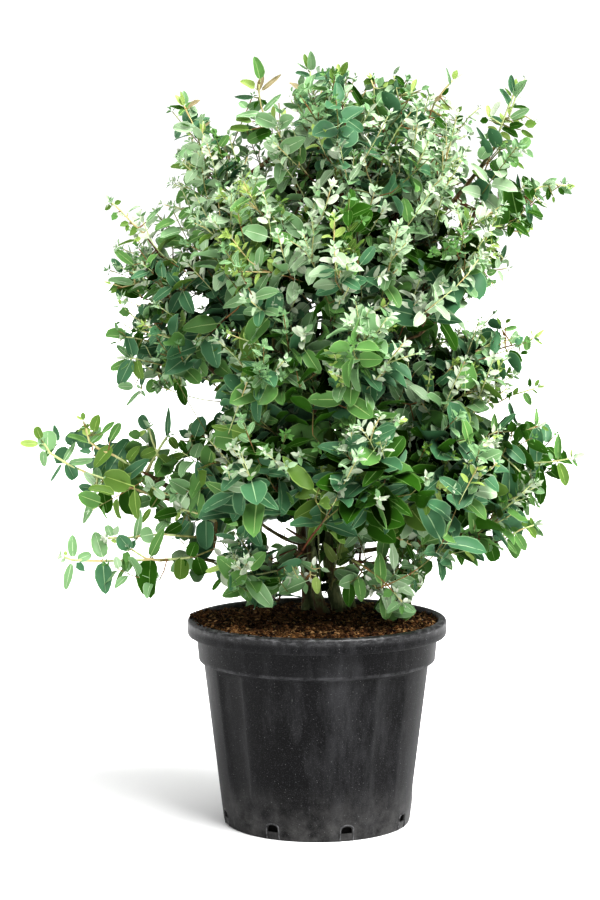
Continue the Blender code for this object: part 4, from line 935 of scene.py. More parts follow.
def leaf_template(form, fold, curl, rows=(0.07, 0.25, 0.48, 0.72, 0.91), rib=0.017, rim=0.024):
    """A leaf of unit length along +Y: two blades with a pale rim, and a pale
    midrib and stalk standing just proud of them."""
    half, widest, blunt = LEAF_FORMS[form]
    rise = blunt * widest / (1 - widest)
    peak = widest**rise * (1 - widest) ** blunt
    verts = [(0.0, 0.0, 0.0)]
    for t in rows:
        w = half * t**rise * (1 - t) ** blunt / peak
        drop = -curl * t * t
        wave = 0.035 * math.sin(9.0 * t + 4.0 * fold)
        shares = (-1.0, -1.0 + min(rim / w, 0.4), 0.0, 1.0 - min(rim / w, 0.4), 1.0) if rim else (-1.0, 0.0, 1.0)
        verts += [(s * w, t, drop + abs(s) * fold * w - s * wave) for s in shares]
    verts.append((0.0, 1.0, -curl))
    across = 5 if rim else 3
    kinds = (2, 0, 0, 2) if rim else (0, 0)
    faces, mats = [], []
    for c in range(across - 1):
        faces.append((0, 2 + c, 1 + c))
        mats.append(kinds[c])
    for k in range(len(rows) - 1):
        low, high = 1 + across * k, 1 + across * (k + 1)
        for c in range(across - 1):
            faces += [(low + c, low + c + 1, high + c + 1), (low + c, high + c + 1, high + c)]
            mats += [kinds[c], kinds[c]]
    low, tip = 1 + across * (len(rows) - 1), 1 + across * len(rows)
    for c in range(across - 1):
        faces.append((low + c, low + c + 1, tip))
        mats.append(kinds[c])
    if rib:
        first = len(verts)
        for t, w in ((-0.13, 1.0), (0.02, 1.0), (0.45, 0.75), (0.90, 0.25)):
            z = -curl * max(t, 0.0) ** 2 + 0.013
            verts += [(-rib * w, t, z), (rib * w, t, z)]
        for k in range(3):
            a = first + 2 * k
            faces += [(a, a + 1, a + 3), (a, a + 3, a + 2)]
            mats += [1, 1]
    return np.array(verts), np.array(faces), np.array(mats)


TEMPLATES = {
    form: [leaf_template(form, fold, curl) for fold, curl in ((0.22, 0.12), (0.46, 0.26), (0.62, 0.10))]
    for form in LEAF_FORMS
}
SMALL = [
    leaf_template(form, 0.45, curl, (0.28, 0.66), 0, 0)
    for form, curl in (("oval", 0.22), ("lance", -0.12), ("oval", 0.05))
]


class Leaves:
    """Collects placed leaves into pieces of a limited size."""

    def __init__(self, most=190000):
        self.most = most
        self.sets = [[]]
        self.count = self.total = self.leaves = 0

    def add(self, template, origin, along, up, length, tint, wide=1.0):
        verts, faces, mats = template
        across = np.cross(along, up)
        across /= max(math.sqrt(float(across @ across)), 1e-9)
        up = np.cross(across, along)
        frame = np.array((across * wide, along, up)) * length
        if self.count + len(faces) > self.most:
            self.sets.append([])
            self.count = 0
        self.sets[-1].append((verts @ frame + origin, faces, mats + 3 * tint))
        self.count += len(faces)
        self.total += len(faces)
        self.leaves += 1

    def build(self, name, mats):
        made = []
        for number, group in enumerate(self.sets):
            shift, faces, verts, index = 0, [], [], []
            for v, f, m in group:
                faces.append(f + shift)
                verts.append(v)
                index.append(m)
                shift += len(v)
            made.append(
                mesh_piece(
                    f"{name}_{number + 1}",
                    np.concatenate(verts),
                    np.concatenate(faces),
                    mats,
                    np.concatenate(index),
                )
            )
        return made


# Tints are plain colours, dealt out by spray: blade and midrib in turn. The
# rim of a blade lies between the two. The near-black deep tint is painted
# shade, dealt to sprays inside the crown.
TINTS = [
    ("deep", srgb(11, 28, 1), srgb(42, 64, 22)),
    ("green", srgb(47, 87, 20), srgb(112, 146, 80)),
    ("teal", srgb(75, 117, 83), srgb(150, 178, 138)),
    ("leaf", srgb(96, 137, 75), srgb(166, 192, 128)),
    ("sage", srgb(121, 156, 110), srgb(190, 210, 174)),
    ("bloom", srgb(160, 185, 149), srgb(206, 220, 194)),
    ("pale", srgb(187, 198, 175), srgb(208, 215, 197)),
    ("tip", srgb(213, 218, 203), srgb(218, 221, 208)),
    ("fresh", srgb(96, 127, 54), srgb(160, 182, 106)),
    ("lime", srgb(156, 180, 100), srgb(194, 210, 140)),
    ("bronze", srgb(142, 132, 100), srgb(188, 178, 140)),
]
DEEP, GREEN, TEAL, LEAF, SAGE, BLOOM, PALE, TIP, FRESH, LIME, BRONZE = range(11)
GLOSS = {DEEP: (0.6, 0.0), GREEN: (0.45, 0.05), TEAL: (0.38, 0.16), LEAF: (0.38, 0.16), SAGE: (0.38, 0.24)}
YOUNGER = {DEEP: GREEN, GREEN: TEAL, TEAL: LEAF, LEAF: SAGE, SAGE: BLOOM, FRESH: LEAF, LIME: PALE, BRONZE: LIME}


def leaf_materials():
    mats = []
    for number, (name, blade, rib) in enumerate(TINTS):
        roughness, specular = GLOSS.get(number, (0.48, 0.22))
        mats.append(plain(f"leaf_{name}", blade, roughness, specular))
        mats.append(plain(f"rib_{name}", rib, 0.6, 0.2))
        rim = tuple(0.55 * a + 0.45 * b for a, b in zip(blade, rib))
        mats.append(plain(f"rim_{name}", rim, roughness, specular))
    return mats


def spray_tints(depth, level, rng):
    """The tints of a spray's older and young leaves: darker deep inside, as painted shade,
    paler towards the top, as painted light from above."""
    draw = rng.random()
    # Dark tints deep inside the crown are painted shade.
    if depth > 0.055:
        old = DEEP if draw < 0.85 else GREEN
        young = (GREEN, TEAL, FRESH)[rng.integers(3)]
    elif depth > 0.030:
        old = (DEEP, DEEP, GREEN, GREEN, GREEN, TEAL, TEAL, FRESH)[rng.integers(8)]
        young = (LEAF, SAGE, LEAF, FRESH)[rng.integers(4)]
    else:
        old = (GREEN, TEAL, TEAL, LEAF, LEAF, SAGE, SAGE, BLOOM if level > 0.8 else TEAL)[rng.integers(8)]
        # Paler tints near the top are painted light from above.
        if level > 0.90 and rng.random() < 0.75:
            old = (SAGE, SAGE, BLOOM, BLOOM, LEAF)[rng.integers(5)]
        if draw < 0.06:
            old = FRESH
        young = (BLOOM, PALE, BLOOM, PALE, SAGE, BLOOM, PALE, LIME)[rng.integers(8)]
    # No painted shade at the very top.
    if level > 0.97 and old in (DEEP, GREEN) and rng.random() < 0.8:
        old = (TEAL, LEAF, SAGE)[rng.integers(3)]
    return old, young


class Foliage:
    def __init__(self):
        self.leaves, self.tips = Leaves(), Leaves()
        self.stalks = []
        self.branching = Branching()

    def tuft(self, place, way, rng, size, young):
        """Small pale leaves opening like a star at a shoot's tip."""
        if left_open(place):
            return
        side = unit(np.cross(way, (0.3, 0.5, 0.8)))
        other = np.cross(way, side)
        turn = rng.uniform(0, math.pi)
        if young in (PALE, LIME, BLOOM):
            pale = (TIP, PALE, PALE, PALE, BLOOM, LIME if young == LIME else BLOOM)[rng.integers(6)]
        else:
            pale = young
        for level, (scale, rise) in enumerate(((1.0, 0.35), (0.85, 0.9), (0.55, 2.0))):
            for half in (0, math.pi):
                a = turn + half + rng.normal(0, 0.25)
                out = math.cos(a) * side + math.sin(a) * other
                tip_way = unit(out + rise * rng.uniform(0.7, 1.3) * way)
                length = size * scale * rng.uniform(0.8, 1.2)
                if past_outline(*shown(place + tip_way * length)):
                    continue
                shade = pale
                if pale in (TIP, PALE):
                    shade = ((SAGE, BLOOM), (BLOOM, PALE), (PALE, TIP))[level][rng.integers(2)]
                self.tips.add(
                    SMALL[rng.integers(3)],
                    place + way * (0.0025 * level) + tip_way * 0.001,
                    tip_way,
                    unit(way + rng.normal(0, 0.25, 3)),
                    length,
                    shade if level or rng.random() < 0.6 else young,
                    rng.uniform(0.85, 1.15),
                )
            turn += math.pi / 2 + rng.normal(0, 0.12)

    def young_pairs(self, start, stop, display, rng, young, size):
        """Small leaves in crossed pairs up a pale young stem."""
        way = stop - start
        length = float(np.linalg.norm(way))
        way = way / length
        u = unit(np.cross(way, display))
        v = np.cross(u, way)
        pairs = max(2, int(length / 0.0105))
        turn = rng.uniform(0, math.pi)
        for k in range(pairs):
            share = (k + 0.4) / pairs
            at = start + (stop - start) * share
            for half in (0, math.pi):
                a = turn + half + rng.normal(0, 0.2)
                out = math.cos(a) * u + math.sin(a) * v
                tip_way = unit(out + way * (0.5 + 0.6 * share))
                leaf = fitted(at, tip_way, size * (1.0 - 0.35 * share) * rng.uniform(0.8, 1.2))
                if not leaf:
                    continue
                small = leaf < 0.016
                (self.tips if small else self.leaves).add(
                    SMALL[rng.integers(3)] if small else TEMPLATES["oval" if rng.random() < 0.6 else "lance"][rng.integers(3)],
                    at + tip_way * leaf * (0.05 if small else 0.12),
                    tip_way,
                    unit(0.7 * display + 0.6 * way + rng.normal(0, 0.3, 3)),
                    leaf,
                    young if rng.random() < 0.7 else (PALE if young in (PALE, BLOOM, LIME) else SAGE),
                    rng.uniform(0.9, 1.15),
                )
            turn += math.pi / 2 + rng.normal(0, 0.15)

    def side_shoot(self, place, way, display, rng, young, size):
        length = rng.uniform(0.024, 0.056)
        tip = place + way * length + UP * length * 0.15
        if left_open(tip):
            return
        middle = (place + tip) / 2 + rng.normal(0, 0.05, 3) * length
        self.stalks.append((np.array((place, middle, tip)), 0.0011, young))
        self.young_pairs(place + (tip - place) * 0.2, tip, display, rng, young, size)
        self.tuft(tip, unit(way + 0.25 * UP), rng, rng.uniform(0.008, 0.012), young)

    def dress(self, line, first, plan, rng):
        """Opposite pairs of grown leaves up a shoot, turned from pair to pair
        but twisting to show their faces, then its pale young end."""
        loose = plan.get("loose", False)
        part = line[max(first - (4 if loose else 1), 0) :]
        steps = np.linalg.norm(np.diff(part, axis=0), axis=1)
        run = np.concatenate(((0,), np.cumsum(steps)))
        total = run[-1]
        display, out, size, form = plan["display"], plan["out"], plan["size"], plan["form"]
        old, young = plan["tints"]
        grown_to = total * plan["grown"]
        at, k = total * 0.04, int(rng.integers(2))
        base_turn = rng.normal(0, 0.35)
        last = 0.0

        def point(d):
            return np.array([np.interp(d, run, part[:, i]) for i in range(3)])

        along = unit(part[-1] - part[0])
        while at < grown_to - 0.002:
            share = at / total
            place = point(at)
            if at + 0.006 < total:
                along = unit(point(at + 0.006) - place)
            u = unit(np.cross(along, display))
            v = np.cross(u, along)
            turn = base_turn + (k % 2) * rng.normal(plan["twist"], 0.25)
            grown = float(np.interp(at / grown_to, (0.0, 0.4, 1.0), (0.85, 1.0, 0.70)))
            for half in (0, math.pi):
                if rng.random() < 0.05:
                    continue
                a = turn + half + rng.normal(0, 0.2)
                away = math.cos(a) * u + math.sin(a) * v
                lean = rng.normal(0.5, 0.18)
                droop = rng.uniform(0.0, 0.65) * (1 - 0.6 * share)
                tip_way = unit(away + along * lean - UP * droop)
                length = fitted(place, tip_way, size * grown * rng.uniform(0.84, 1.16), loose)
                if length:
                    last = at
                    tint = old if rng.random() < 0.84 else YOUNGER.get(old, old)
                    # The deep tint is painted shade, so a leaf at the crown's edge or low on the left takes a lit
                    # tint.
                    if tint == DEEP and (place[0] < -0.10 and place[2] < 0.66 or at_the_edge(place + tip_way * length * 0.6)):
                        tint = (GREEN, TEAL, LEAF)[rng.integers(3)]
                    # Big leaves low in the crown take darker tints than sage: painted shade.
                    if tint == SAGE and length > 0.042 and place[0] > -0.19 and place[2] < 0.60:
                        tint = LEAF if k % 3 == 0 else TEAL
                    shape = form if rng.random() < 0.75 else ("oval", "ovate", "lance")[rng.integers(3)]
                    self.leaves.add(
                        TEMPLATES[shape][rng.integers(3)],
                        place + tip_way * length * 0.12,
                        tip_way,
                        unit(display + 0.3 * along + rng.normal(0, 0.34, 3)),
                        length,
                        tint,
                        rng.uniform(0.88, 1.12),
                    )
                if share > 0.1 and rng.random() < plan["sides"]:
                    way = unit(away * 0.8 + along * 0.75 + UP * 0.25 + out * 0.45)
                    self.side_shoot(place, way, display, rng, young, plan["small"] * rng.uniform(0.8, 1.1))
            k += 1
            at += plan["spacing"] * rng.uniform(0.88, 1.12)
        if total - grown_to > 0.012:
            stops = np.linspace(grown_to, total, max(2, int((total - grown_to) / 0.03) + 1))
            for low, high in zip(stops[:-1], stops[1:]):
                ease = 1.0 - 0.35 * (low - grown_to) / (total - grown_to)
                self.young_pairs(point(low), point(high), display, rng, young, plan["small"] * 1.15 * ease)
        self.tuft(part[-1], along, rng, plan["small"] * rng.uniform(0.6, 0.9), young)
        if left_open(part[-1]) and last < grown_to - 0.02:
            # Nothing grew near its end, so it ends sooner.
            return len(line) - len(part) + int(np.searchsorted(run, last)) + 1
        return len(line)

    def read_shoot(self, name, y, places, leaves):
        """A shoot and its leaves where the photograph shows them."""
        rng = np.random.default_rng(name_seed(name))
        sway = rng.normal(0, 0.006, len(places)).cumsum() * 0.6
        path = [seen(px, py, y + off) for (px, py), off in zip(places, sway)]
        line, first = self.branching.join(path, unit(path[-1] - path[0]), rng, read=True)
        arm = "arm" in name
        self.branching.twigs[-1].update(young=PALE if arm else BLOOM, grown=0.4 if arm else 0.7, thick=2.2 if arm else 1.5)
        for bx, by, tx, ty, width, tint in leaves:
            px, py = shown(line)
            near = int(np.argmin((px - bx) ** 2 + (py - by) ** 2))
            level = line[near][1]
            foot = seen(bx, by, level)
            flat = math.hypot(tx - bx, ty - by)
            lean = rng.uniform(-0.45, 0.45)
            tip = seen(tx, ty, level + lean * flat / FOCAL * 3.4)
            along = tip - foot
            length = float(np.linalg.norm(along))
            along /= length
            share = width / flat
            form = "round" if share > 0.62 else ("ovate" if share > 0.46 else ("oval" if share > 0.28 else "lance"))
            tint = [row[0] for row in TINTS].index(tint)
            small = flat < 13
            template = SMALL[rng.integers(3)] if small else TEMPLATES[form][rng.integers(3)]
            half = 0.25 if small else LEAF_FORMS[form][0]
            full = length * FOCAL / 3.45
            (self.tips if small else self.leaves).add(
                template,
                foot + along * length * 0.04,
                along,
                unit((FRONT if y < 0.04 else -FRONT) + 0.35 * UP + rng.normal(0, 0.28, 3)),
                length,
                tint,
                min(max(width / (2 * half * full), 0.35), 1.7),
            )
            gap = float(np.linalg.norm(foot - line[near]))
            if gap > 0.004:
                bend = (foot + line[near]) / 2 + rng.normal(0, 0.08, 3) * gap
                self.stalks.append((np.array((line[near], bend, foot)), 0.0011, tint if tint in (PALE, BLOOM, LIME) else LEAF))
        if places[-1][1] > 120:
            self.tuft(line[-1], unit(line[-1] - line[-3]), rng, 0.012, PALE)

    def covered(self, turned, cell):
        """The cells of a view that leaves cover."""
        middles = np.concatenate([v[f].mean(1) for group in self.leaves.sets + self.tips.sets for v, f, _ in group])
        return {tuple(c) for c in np.floor(turned(middles) / cell).astype(int)}

    def fill(self, crown):
        """Dark inner shoots wherever one could see right through the crown
        and the photograph doesn't."""
        rng = np.random.default_rng(SEED + 11)
        plans = []
        for view in ("front", "side"):
            if view == "front":
                cell = 6.0
                turned = lambda p: np.stack(shown(p), -1)
                cells = [(x, y) for x in range(15, 99) for y in range(8, 100)]
            else:
                cell = 0.010
                turned = lambda p: p[:, 1:]
                cells = [(y, z) for y in range(-30, 32) for z in range(44, 116)]
            seen_cells = self.covered(turned, cell)
            filled = []
            for k in rng.permutation(len(cells)):
                a, b = cells[k]
                if (a, b) in seen_cells or any((a - x) ** 2 + (b - y) ** 2 < 7 for x, y in filled):
                    continue
                if view == "front":
                    px, py = (a + 0.5) * cell, (b + 0.5) * cell
                    near, far = seen(px, py, -0.40), seen(px, py, 0.42)
                    if in_ring(px, py, STEMS_SHOW) or left_open(near) or at_the_edge(near, 9):
                        continue
                else:
                    near = np.array((-0.6, (a + 0.5) * cell, (b + 0.5) * cell))
                    far = near + np.array((1.2, 0.0, 0.0))
                way = unit(far - near)
                span = float(np.linalg.norm(far - near))
                start = crown.tree.ray_cast(Vector(near), Vector(way), span)
                stop = crown.tree.ray_cast(Vector(far), Vector(-way), span)
                if start[0] is None or span - start[3] - stop[3] < 0.05:
                    if view == "side":
                        continue
                    target = near + way * rng.uniform(0.40, 0.46)
                else:
                    target = near + way * rng.uniform(start[3] + 0.02, span - stop[3] - 0.02)
                if left_open(target):
                    continue
                filled.append((a, b))
                flat = unit(np.array((target[0] - 0.02, target[1] - 0.03, 0.25)) + rng.normal(0, 0.1, 3))
                base = target - flat * rng.uniform(0.05, 0.08)
                depth, out = crown.look(target)
                # Their tints darken with depth, as painted shade; near the top and low on the left they are lit ones.
                inner = (DEEP, GREEN, GREEN, TEAL) if depth > 0.06 else (GREEN, TEAL, TEAL, LEAF)
                if target[2] > 0.97 or (target[0] < -0.10 and target[2] < 0.66):
                    inner = (TEAL, SAGE, LEAF, TEAL)
                plans.append(
                    {
                        "twist": 0.8,
                        "path": [base, (base + target) / 2 + rng.normal(0, 0.003, 3), target + flat * 0.012],
                        "way": flat,
                        "out": out,
                        "display": unit((-way if rng.random() < 0.5 else way) + 0.3 * UP + rng.normal(0, 0.2, 3)),
                        "tints": (inner[rng.integers(4)], (LEAF, SAGE)[rng.integers(2)]),
                        "form": ("oval", "ovate")[rng.integers(2)],
                        "size": rng.uniform(0.036, 0.050),
                        "small": 0.014,
                        "spacing": 0.018,
                        "sides": 0.0,
                        "grown": 0.95,
                        "rng": rng,
                    }
                )
            print("filled from the", view, len(filled))
        return plans

    def grow(self):
        crown = Crown()
        plans = []
        for name, (y, places, size, form, spacing) in LEADERS.items():
            rng = np.random.default_rng(name_seed(name))
            path = [seen(px, py, y) for px, py in places]
            way = unit(path[-1] - path[0])
            middle = path[len(path) // 2]
            out = unit(np.array((middle[0] - 0.02, middle[1] - 0.02, 0.12)))
            facing = FRONT if y <= 0 else -FRONT
            old = (LEAF, SAGE, LEAF, SAGE, BLOOM, FRESH)[rng.integers(6)]
            # Leaders at the top take paler tints: painted light.
            if places[-1][1] < 170:
                old = (SAGE, SAGE, BLOOM, LIME, LEAF)[rng.integers(5)]
            arm = "_arm_" in name
            if name.startswith("behind"):
                old = (LIME, FRESH)[rng.integers(2)]
            elif name.startswith(("before", "skirt")):
                old = (TEAL, SAGE, SAGE, BLOOM)[rng.integers(4)]
            # Those in the middle and inner parts take darker tints: painted shade.
            elif name.startswith(("mid_", "notch", "inner_left", "left_low", "left_up")):
                old = (TEAL, TEAL, LEAF, SAGE)[rng.integers(4)]
            if arm:
                old = (LEAF, TEAL, SAGE, TEAL, GREEN, FRESH)[rng.integers(6)]
            plan = {
                "twist": 0.5 if arm else 1.15,
                "order": 0.0,
                "path": path,
                "way": way,
                "out": out,
                "display": unit(facing + 0.35 * UP + 0.35 * out),
                "tints": (old, (SAGE, BLOOM, BLOOM, FRESH)[rng.integers(4)] if arm else (BLOOM, PALE, LIME, PALE, PALE)[rng.integers(5)]),
                "form": form,
                "size": size,
                "small": (0.42 if size < 0.04 else 0.30) * size,
                "spacing": spacing,
                "sides": 0.06 if arm else 0.20,
                "grown": 0.97 if arm else 0.88,
                "loose": True,
                "rng": rng,
            }
            plans.append(plan)
        for name in MASSES:
            rng = np.random.default_rng(name_seed(name))
            for target, depth, out in shoot_targets(name, crown, rng):
                own = np.random.default_rng(rng.integers(1 << 30))
                flat = unit(np.array((target[0] - 0.02, target[1] - 0.03, 0.0)) + 1e-6)
                way = unit(0.7 * out + 0.3 * flat + 0.42 * UP + own.normal(0, 0.28, 3))
                arm = name in LARGE_LEAVED and name != "skirt_left"
                if arm:
                    way = unit(way + 0.9 * np.array((-1.0, 0.0, 0.0)))
                length = own.uniform(0.085, 0.150) * (1.0 if depth < 0.05 else 0.8)
                base = target - way * length * 0.9 - UP * length * own.uniform(0.0, 0.25)
                bend = (base + target) / 2 + own.normal(0, 0.05, 3) * length
                turn = own.uniform(0, 2 * math.pi)
                stray = np.array((math.cos(turn), math.sin(turn), 0.0))
                display = unit(0.9 * out + 0.24 * UP + 0.40 * stray)
                if name in LARGE_LEAVED or name in SPARSE:
                    facing = FRONT if own.random() < (0.75 if target[1] < 0.03 else 0.3) else -FRONT
                    display = unit(facing + 0.4 * out + 0.3 * UP + 0.25 * stray)
                draw, level = own.random(), target[2]
                form = "oval" if draw < 0.55 else ("ovate" if draw < 0.78 else ("lance" if draw < 0.92 else "round"))
                if level > 0.88:
                    form = "ovate" if draw < 0.40 else ("oval" if draw < 0.85 else "lance")
                    size = own.uniform(0.034, 0.048) if level < 1.0 else own.uniform(0.028, 0.041)
                elif level > 0.62:
                    size = own.uniform(0.040, 0.062)
                else:
                    size = own.uniform(0.048, 0.070)
                if arm:
                    form = "round" if draw < 0.30 else ("ovate" if draw < 0.65 else "oval")
                    size = own.uniform(0.040, 0.054)
                outer = depth < 0.045
                kind = own.random()
                grown = (0.34 if kind < 0.16 else own.uniform(0.60, 0.80)) if outer else (0.95 if kind < 0.6 else 0.75)
                tints = spray_tints(depth, level, own)
                if arm:
                    tints = (FRESH if tints[0] == FRESH else min(max(tints[0], GREEN), SAGE), (SAGE, BLOOM)[own.integers(2)])
                    grown = 0.9
                plan = {
                    "twist": 0.7 if arm else 1.15,
                    "order": 1.0 + np.linalg.norm(base - np.array((0.02, 0.03, 0.40))),
                    "path": [base, bend, target],
                    "way": way,
                    "out": out,
                    "display": display,
                    "tints": tints,
                    "form": form,
                    "size": size,
                    "small": own.uniform(0.014, 0.021),
                    "spacing": own.uniform(0.019, 0.026),
                    "sides": 0.08 if arm else (0.17 if outer else 0.02),
                    "grown": grown,
                    "rng": own,
                }
                plans.append(plan)
        plans.sort(key=lambda plan: plan["order"])
        for name, (y, places, leaves) in READ_SHOOTS.items():
            self.read_shoot(name, y, places, leaves)
        for group in (plans, None):
            for plan in group or self.fill(crown):
                line, first = self.branching.join(plan["path"], plan["way"], plan["rng"])
                if line is not None:
                    end = self.dress(line, first, plan, plan["rng"])
                    twig = self.branching.twigs[-1]
                    twig.update(line=line[: max(end, first + 2, 4)], young=plan["tints"][1], grown=plan["grown"])
        print("shoots", len(plans), len(self.branching.twigs))
        print("leaves", self.leaves.leaves, self.leaves.total, "young", self.tips.leaves, self.tips.total)

    def twigs(self):
        tubes = Tubes()
        for twig, weight in zip(self.branching.twigs, self.branching.weigh()):
            line, first = twig["line"], twig["first"]
            run = np.linspace(0, 1, len(line))
            radii = np.maximum(0.00082 * weight**0.42 * (1.25 - 0.5 * run), 0.0008) * twig.get("thick", 1.0)
            slot = 0 if weight[0] > 3 else 1
            # The young end of a shoot is a pale green stem.
            turn = first + int((len(line) - first) * max(twig["grown"] - 0.25, 0.1))
            turn = min(max(turn, 2), len(line) - 2)
            for low, high, kind in ((0, turn, slot), (turn, len(line) - 1, 2 if twig["young"] in (PALE, BLOOM, LIME) else 1)):
                keep = np.unique(np.concatenate((np.arange(low, high, 2), (high,))))
                tubes.add(line[keep], radii[keep] * (1.0 if kind < 2 else 1.15), 6 if weight[0] > 5 else 4, kind, cap=low > 0)
        for line, radius, young in self.stalks:
            tubes.add(line, np.array((1.2, 1.0, 0.6)) * radius, 4, 2 if young in (PALE, BLOOM, LIME) else 1, cap=False)
        verts, faces, index = tubes.done()
        mats = [
            bark_material("twig_brown", srgb(52, 40, 24), srgb(98, 80, 52), srgb(140, 122, 86), srgb(104, 58, 38)),
            bark_material("twig_green", srgb(84, 84, 46), srgb(122, 124, 74), srgb(160, 164, 108), srgb(140, 102, 66)),
            bark_material("stalk_pale", srgb(158, 168, 112), srgb(190, 200, 146), srgb(216, 222, 176), srgb(196, 176, 128)),
        ]
        print("twig triangles", len(faces))
        return mesh_piece("twigs", verts, faces, mats, index)


def build_foliage():
    foliage = Foliage()
    foliage.grow()
    mats = leaf_materials()
    made = foliage.leaves.build("leaves", mats) + foliage.tips.build("shoot_tips", mats)
    foliage.twigs()
    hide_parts(*MASSES)


# --------------------------------------------------------------------- limbs
def barked(name, line, radii, step, sides, depth, wander, mat, piece):
    """A limb whose mesh carries the bark's relief and the wood's small bends."""
    line, radii = smooth_line(line, radii, step)
    for k, point in enumerate(line):
        ease = min(1.0, k / 6, (len(line) - 1 - k) / 6)
        at = Vector((point[0] * 9 + 3.7, point[1] * 9, point[2] * 17))
        line[k] = point + wander * ease * np.array(noise.noise_vector(at))
    knots = [1 + 0.16 * max(0.0, noise.noise(Vector((0.4, line[k][0] * 8, line[k][2] * 42))) - 0.1) for k in range(len(line))]
    tubes = Tubes()
    tubes.add(line, radii * np.array(knots), sides, 0)
    verts, faces, _ = tubes.done()
    rings = len(line)
    body = verts[: rings * sides].reshape(rings, sides, 3)
    for k in range(rings):
        for s in range(sides):
            point = body[k, s]
            at = Vector((point[0] * 150, point[1] * 150, point[2] * 20))
            strip = noise.fractal(at, 0.8, 2.2, 4)
            peel = noise.noise(Vector((point[0] * 80, point[1] * 80, point[2] * 30)))
            lift = 0.9 if peel > 0.12 else 0.0
            body[k, s] = line[k] + (point - line[k]) * (1 + depth * (strip * 0.5 + lift))
    verts[: rings * sides] = body.reshape(-1, 3)
    return mesh_piece(piece, verts, faces, [mat], replaces=(name,))


def build_limbs():
    bark = bark_material(
        "stem_looks", srgb(40, 42, 24), srgb(100, 112, 70), srgb(176, 182, 138), srgb(88, 60, 38)
    )
    young = bark_material(
        "bough_looks", srgb(58, 50, 32), srgb(104, 98, 66), srgb(148, 142, 104), srgb(92, 66, 44)
    )
    for name, (line, radii) in STEM_LINES.items():
        radii = np.array(radii) * (1.12 if name != "stem_thin" else 1.0)
        barked(name, line, radii, 0.003, 22, 0.14, 0.0015, bark, f"{name}_bark")
    for name, (line, radii) in BOUGH_LINES.items():
        barked(name, line, radii, 0.005, 12, 0.10, 0.004, young, f"{name}_bark")
    # Short growths low on the stems: a cut stub, two dry forked twigs and a
    # few bare shoots.
    tubes = Tubes()
    right = STEM_LINES["stem_right"][0]
    thin = STEM_LINES["stem_thin"][0]
    middle = STEM_LINES["stem_middle"][0]

    def nearest(line, z):
        return line[np.argmin(np.abs(line[:, 2] - z))]

    spurs = (
        (nearest(middle, 0.392), seen(313, 547, 0.020), 0.0042, 0.0040, 0),
        (nearest(thin, 0.345), seen(361, 534, 0.085), 0.0022, 0.0010, 1),
        (nearest(thin, 0.400), seen(372, 530, 0.098), 0.0020, 0.0010, 1),
        (nearest(right, 0.430), seen(352, 520, 0.040), 0.0030, 0.0018, 0),
        (nearest(right, 0.380), seen(372, 556, 0.020), 0.0020, 0.0010, 0),
        (nearest(middle, 0.430), seen(286, 528, 0.010), 0.0024, 0.0014, 0),
    )
    for foot, tip, wide, narrow, slot in spurs:
        bend = (foot + tip) / 2 + np.array((0.004, 0.0, -0.004))
        line, radii = smooth_line([foot, bend, tip], [wide * 1.2, wide, narrow], 0.004)
        tubes.add(line, radii, 8, slot)
    verts, faces, index = tubes.done()
    dry = bark_material("dry_looks", srgb(52, 36, 24), srgb(92, 68, 46), srgb(140, 116, 88), srgb(84, 50, 36))
    mesh_piece("spurs", verts, faces, [bark, dry], index)


# ----------------------------------------------------------------------- pot
POT_HEIGHT = 0.3167
RIM_RADIUS = 0.2000
BASE_RADIUS = 0.1441
BODY_TOP = 0.1752
COLLAR_FOOT_Z = 0.2528
WALL = 0.0026
FLUTES = 8
SLOT_FIRST = math.radians(17.5)
FLUTE_FIRST = math.radians(-5.0)


def wall_radius(z):
    return BASE_RADIUS + (BODY_TOP - BASE_RADIUS) * z / (COLLAR_FOOT_Z - 0.0013)


def flute(angle, z):
    """How far the wall is pressed in, as a shallow hollow with soft ends."""
    pitch = 2 * math.pi / FLUTES
    off = (angle - FLUTE_FIRST + pitch / 2) % pitch - pitch / 2
    across = np.clip(1 - (off / math.radians(9.3)) ** 2, 0, 1) ** 0.62
    rise = np.clip((z - 0.030) / 0.05, 0, 1) * np.clip((0.2495 - z) / 0.004, 0, 1)
    return 0.0046 * across * (rise * rise * (3 - 2 * rise))


def turned(profile, steps, pressed=True):
    """A turned grid; a profile point at the axis closes it with a fan."""
    profile = np.array(profile)
    turn = np.arange(steps) * 2 * math.pi / steps
    r = profile[:, :1] - (flute(turn[None], profile[:, 1:]) if pressed else 0) * (profile[:, :1] > 0.1)
    x, y = r * np.sin(turn), -r * np.cos(turn)
    z = np.repeat(profile[:, 1:], steps, axis=1)
    verts = np.stack((x, y, z), 2).reshape(-1, 3)
    k, s = np.meshgrid(np.arange(len(profile) - 1), np.arange(steps), indexing="ij")
    k, s = k.ravel(), s.ravel()
    t = (s + 1) % steps
    a, b, c, d = k * steps + s, k * steps + t, (k + 1) * steps + t, (k + 1) * steps + s
    return verts, np.concatenate((np.stack((a, b, c), 1), np.stack((a, c, d), 1)))


def slot_outline(half, foot, top, count=9):
    """Across and up, from one foot over the round top to the other."""
    spring = top - half * 0.8
    out = [(-half, foot)]
    for k in range(count + 1):
        a = math.pi * (1 - k / count)
        out.append((half * math.cos(a), spring + (top - spring) * math.sin(a) ** 0.7))
    return out + [(half, foot)]


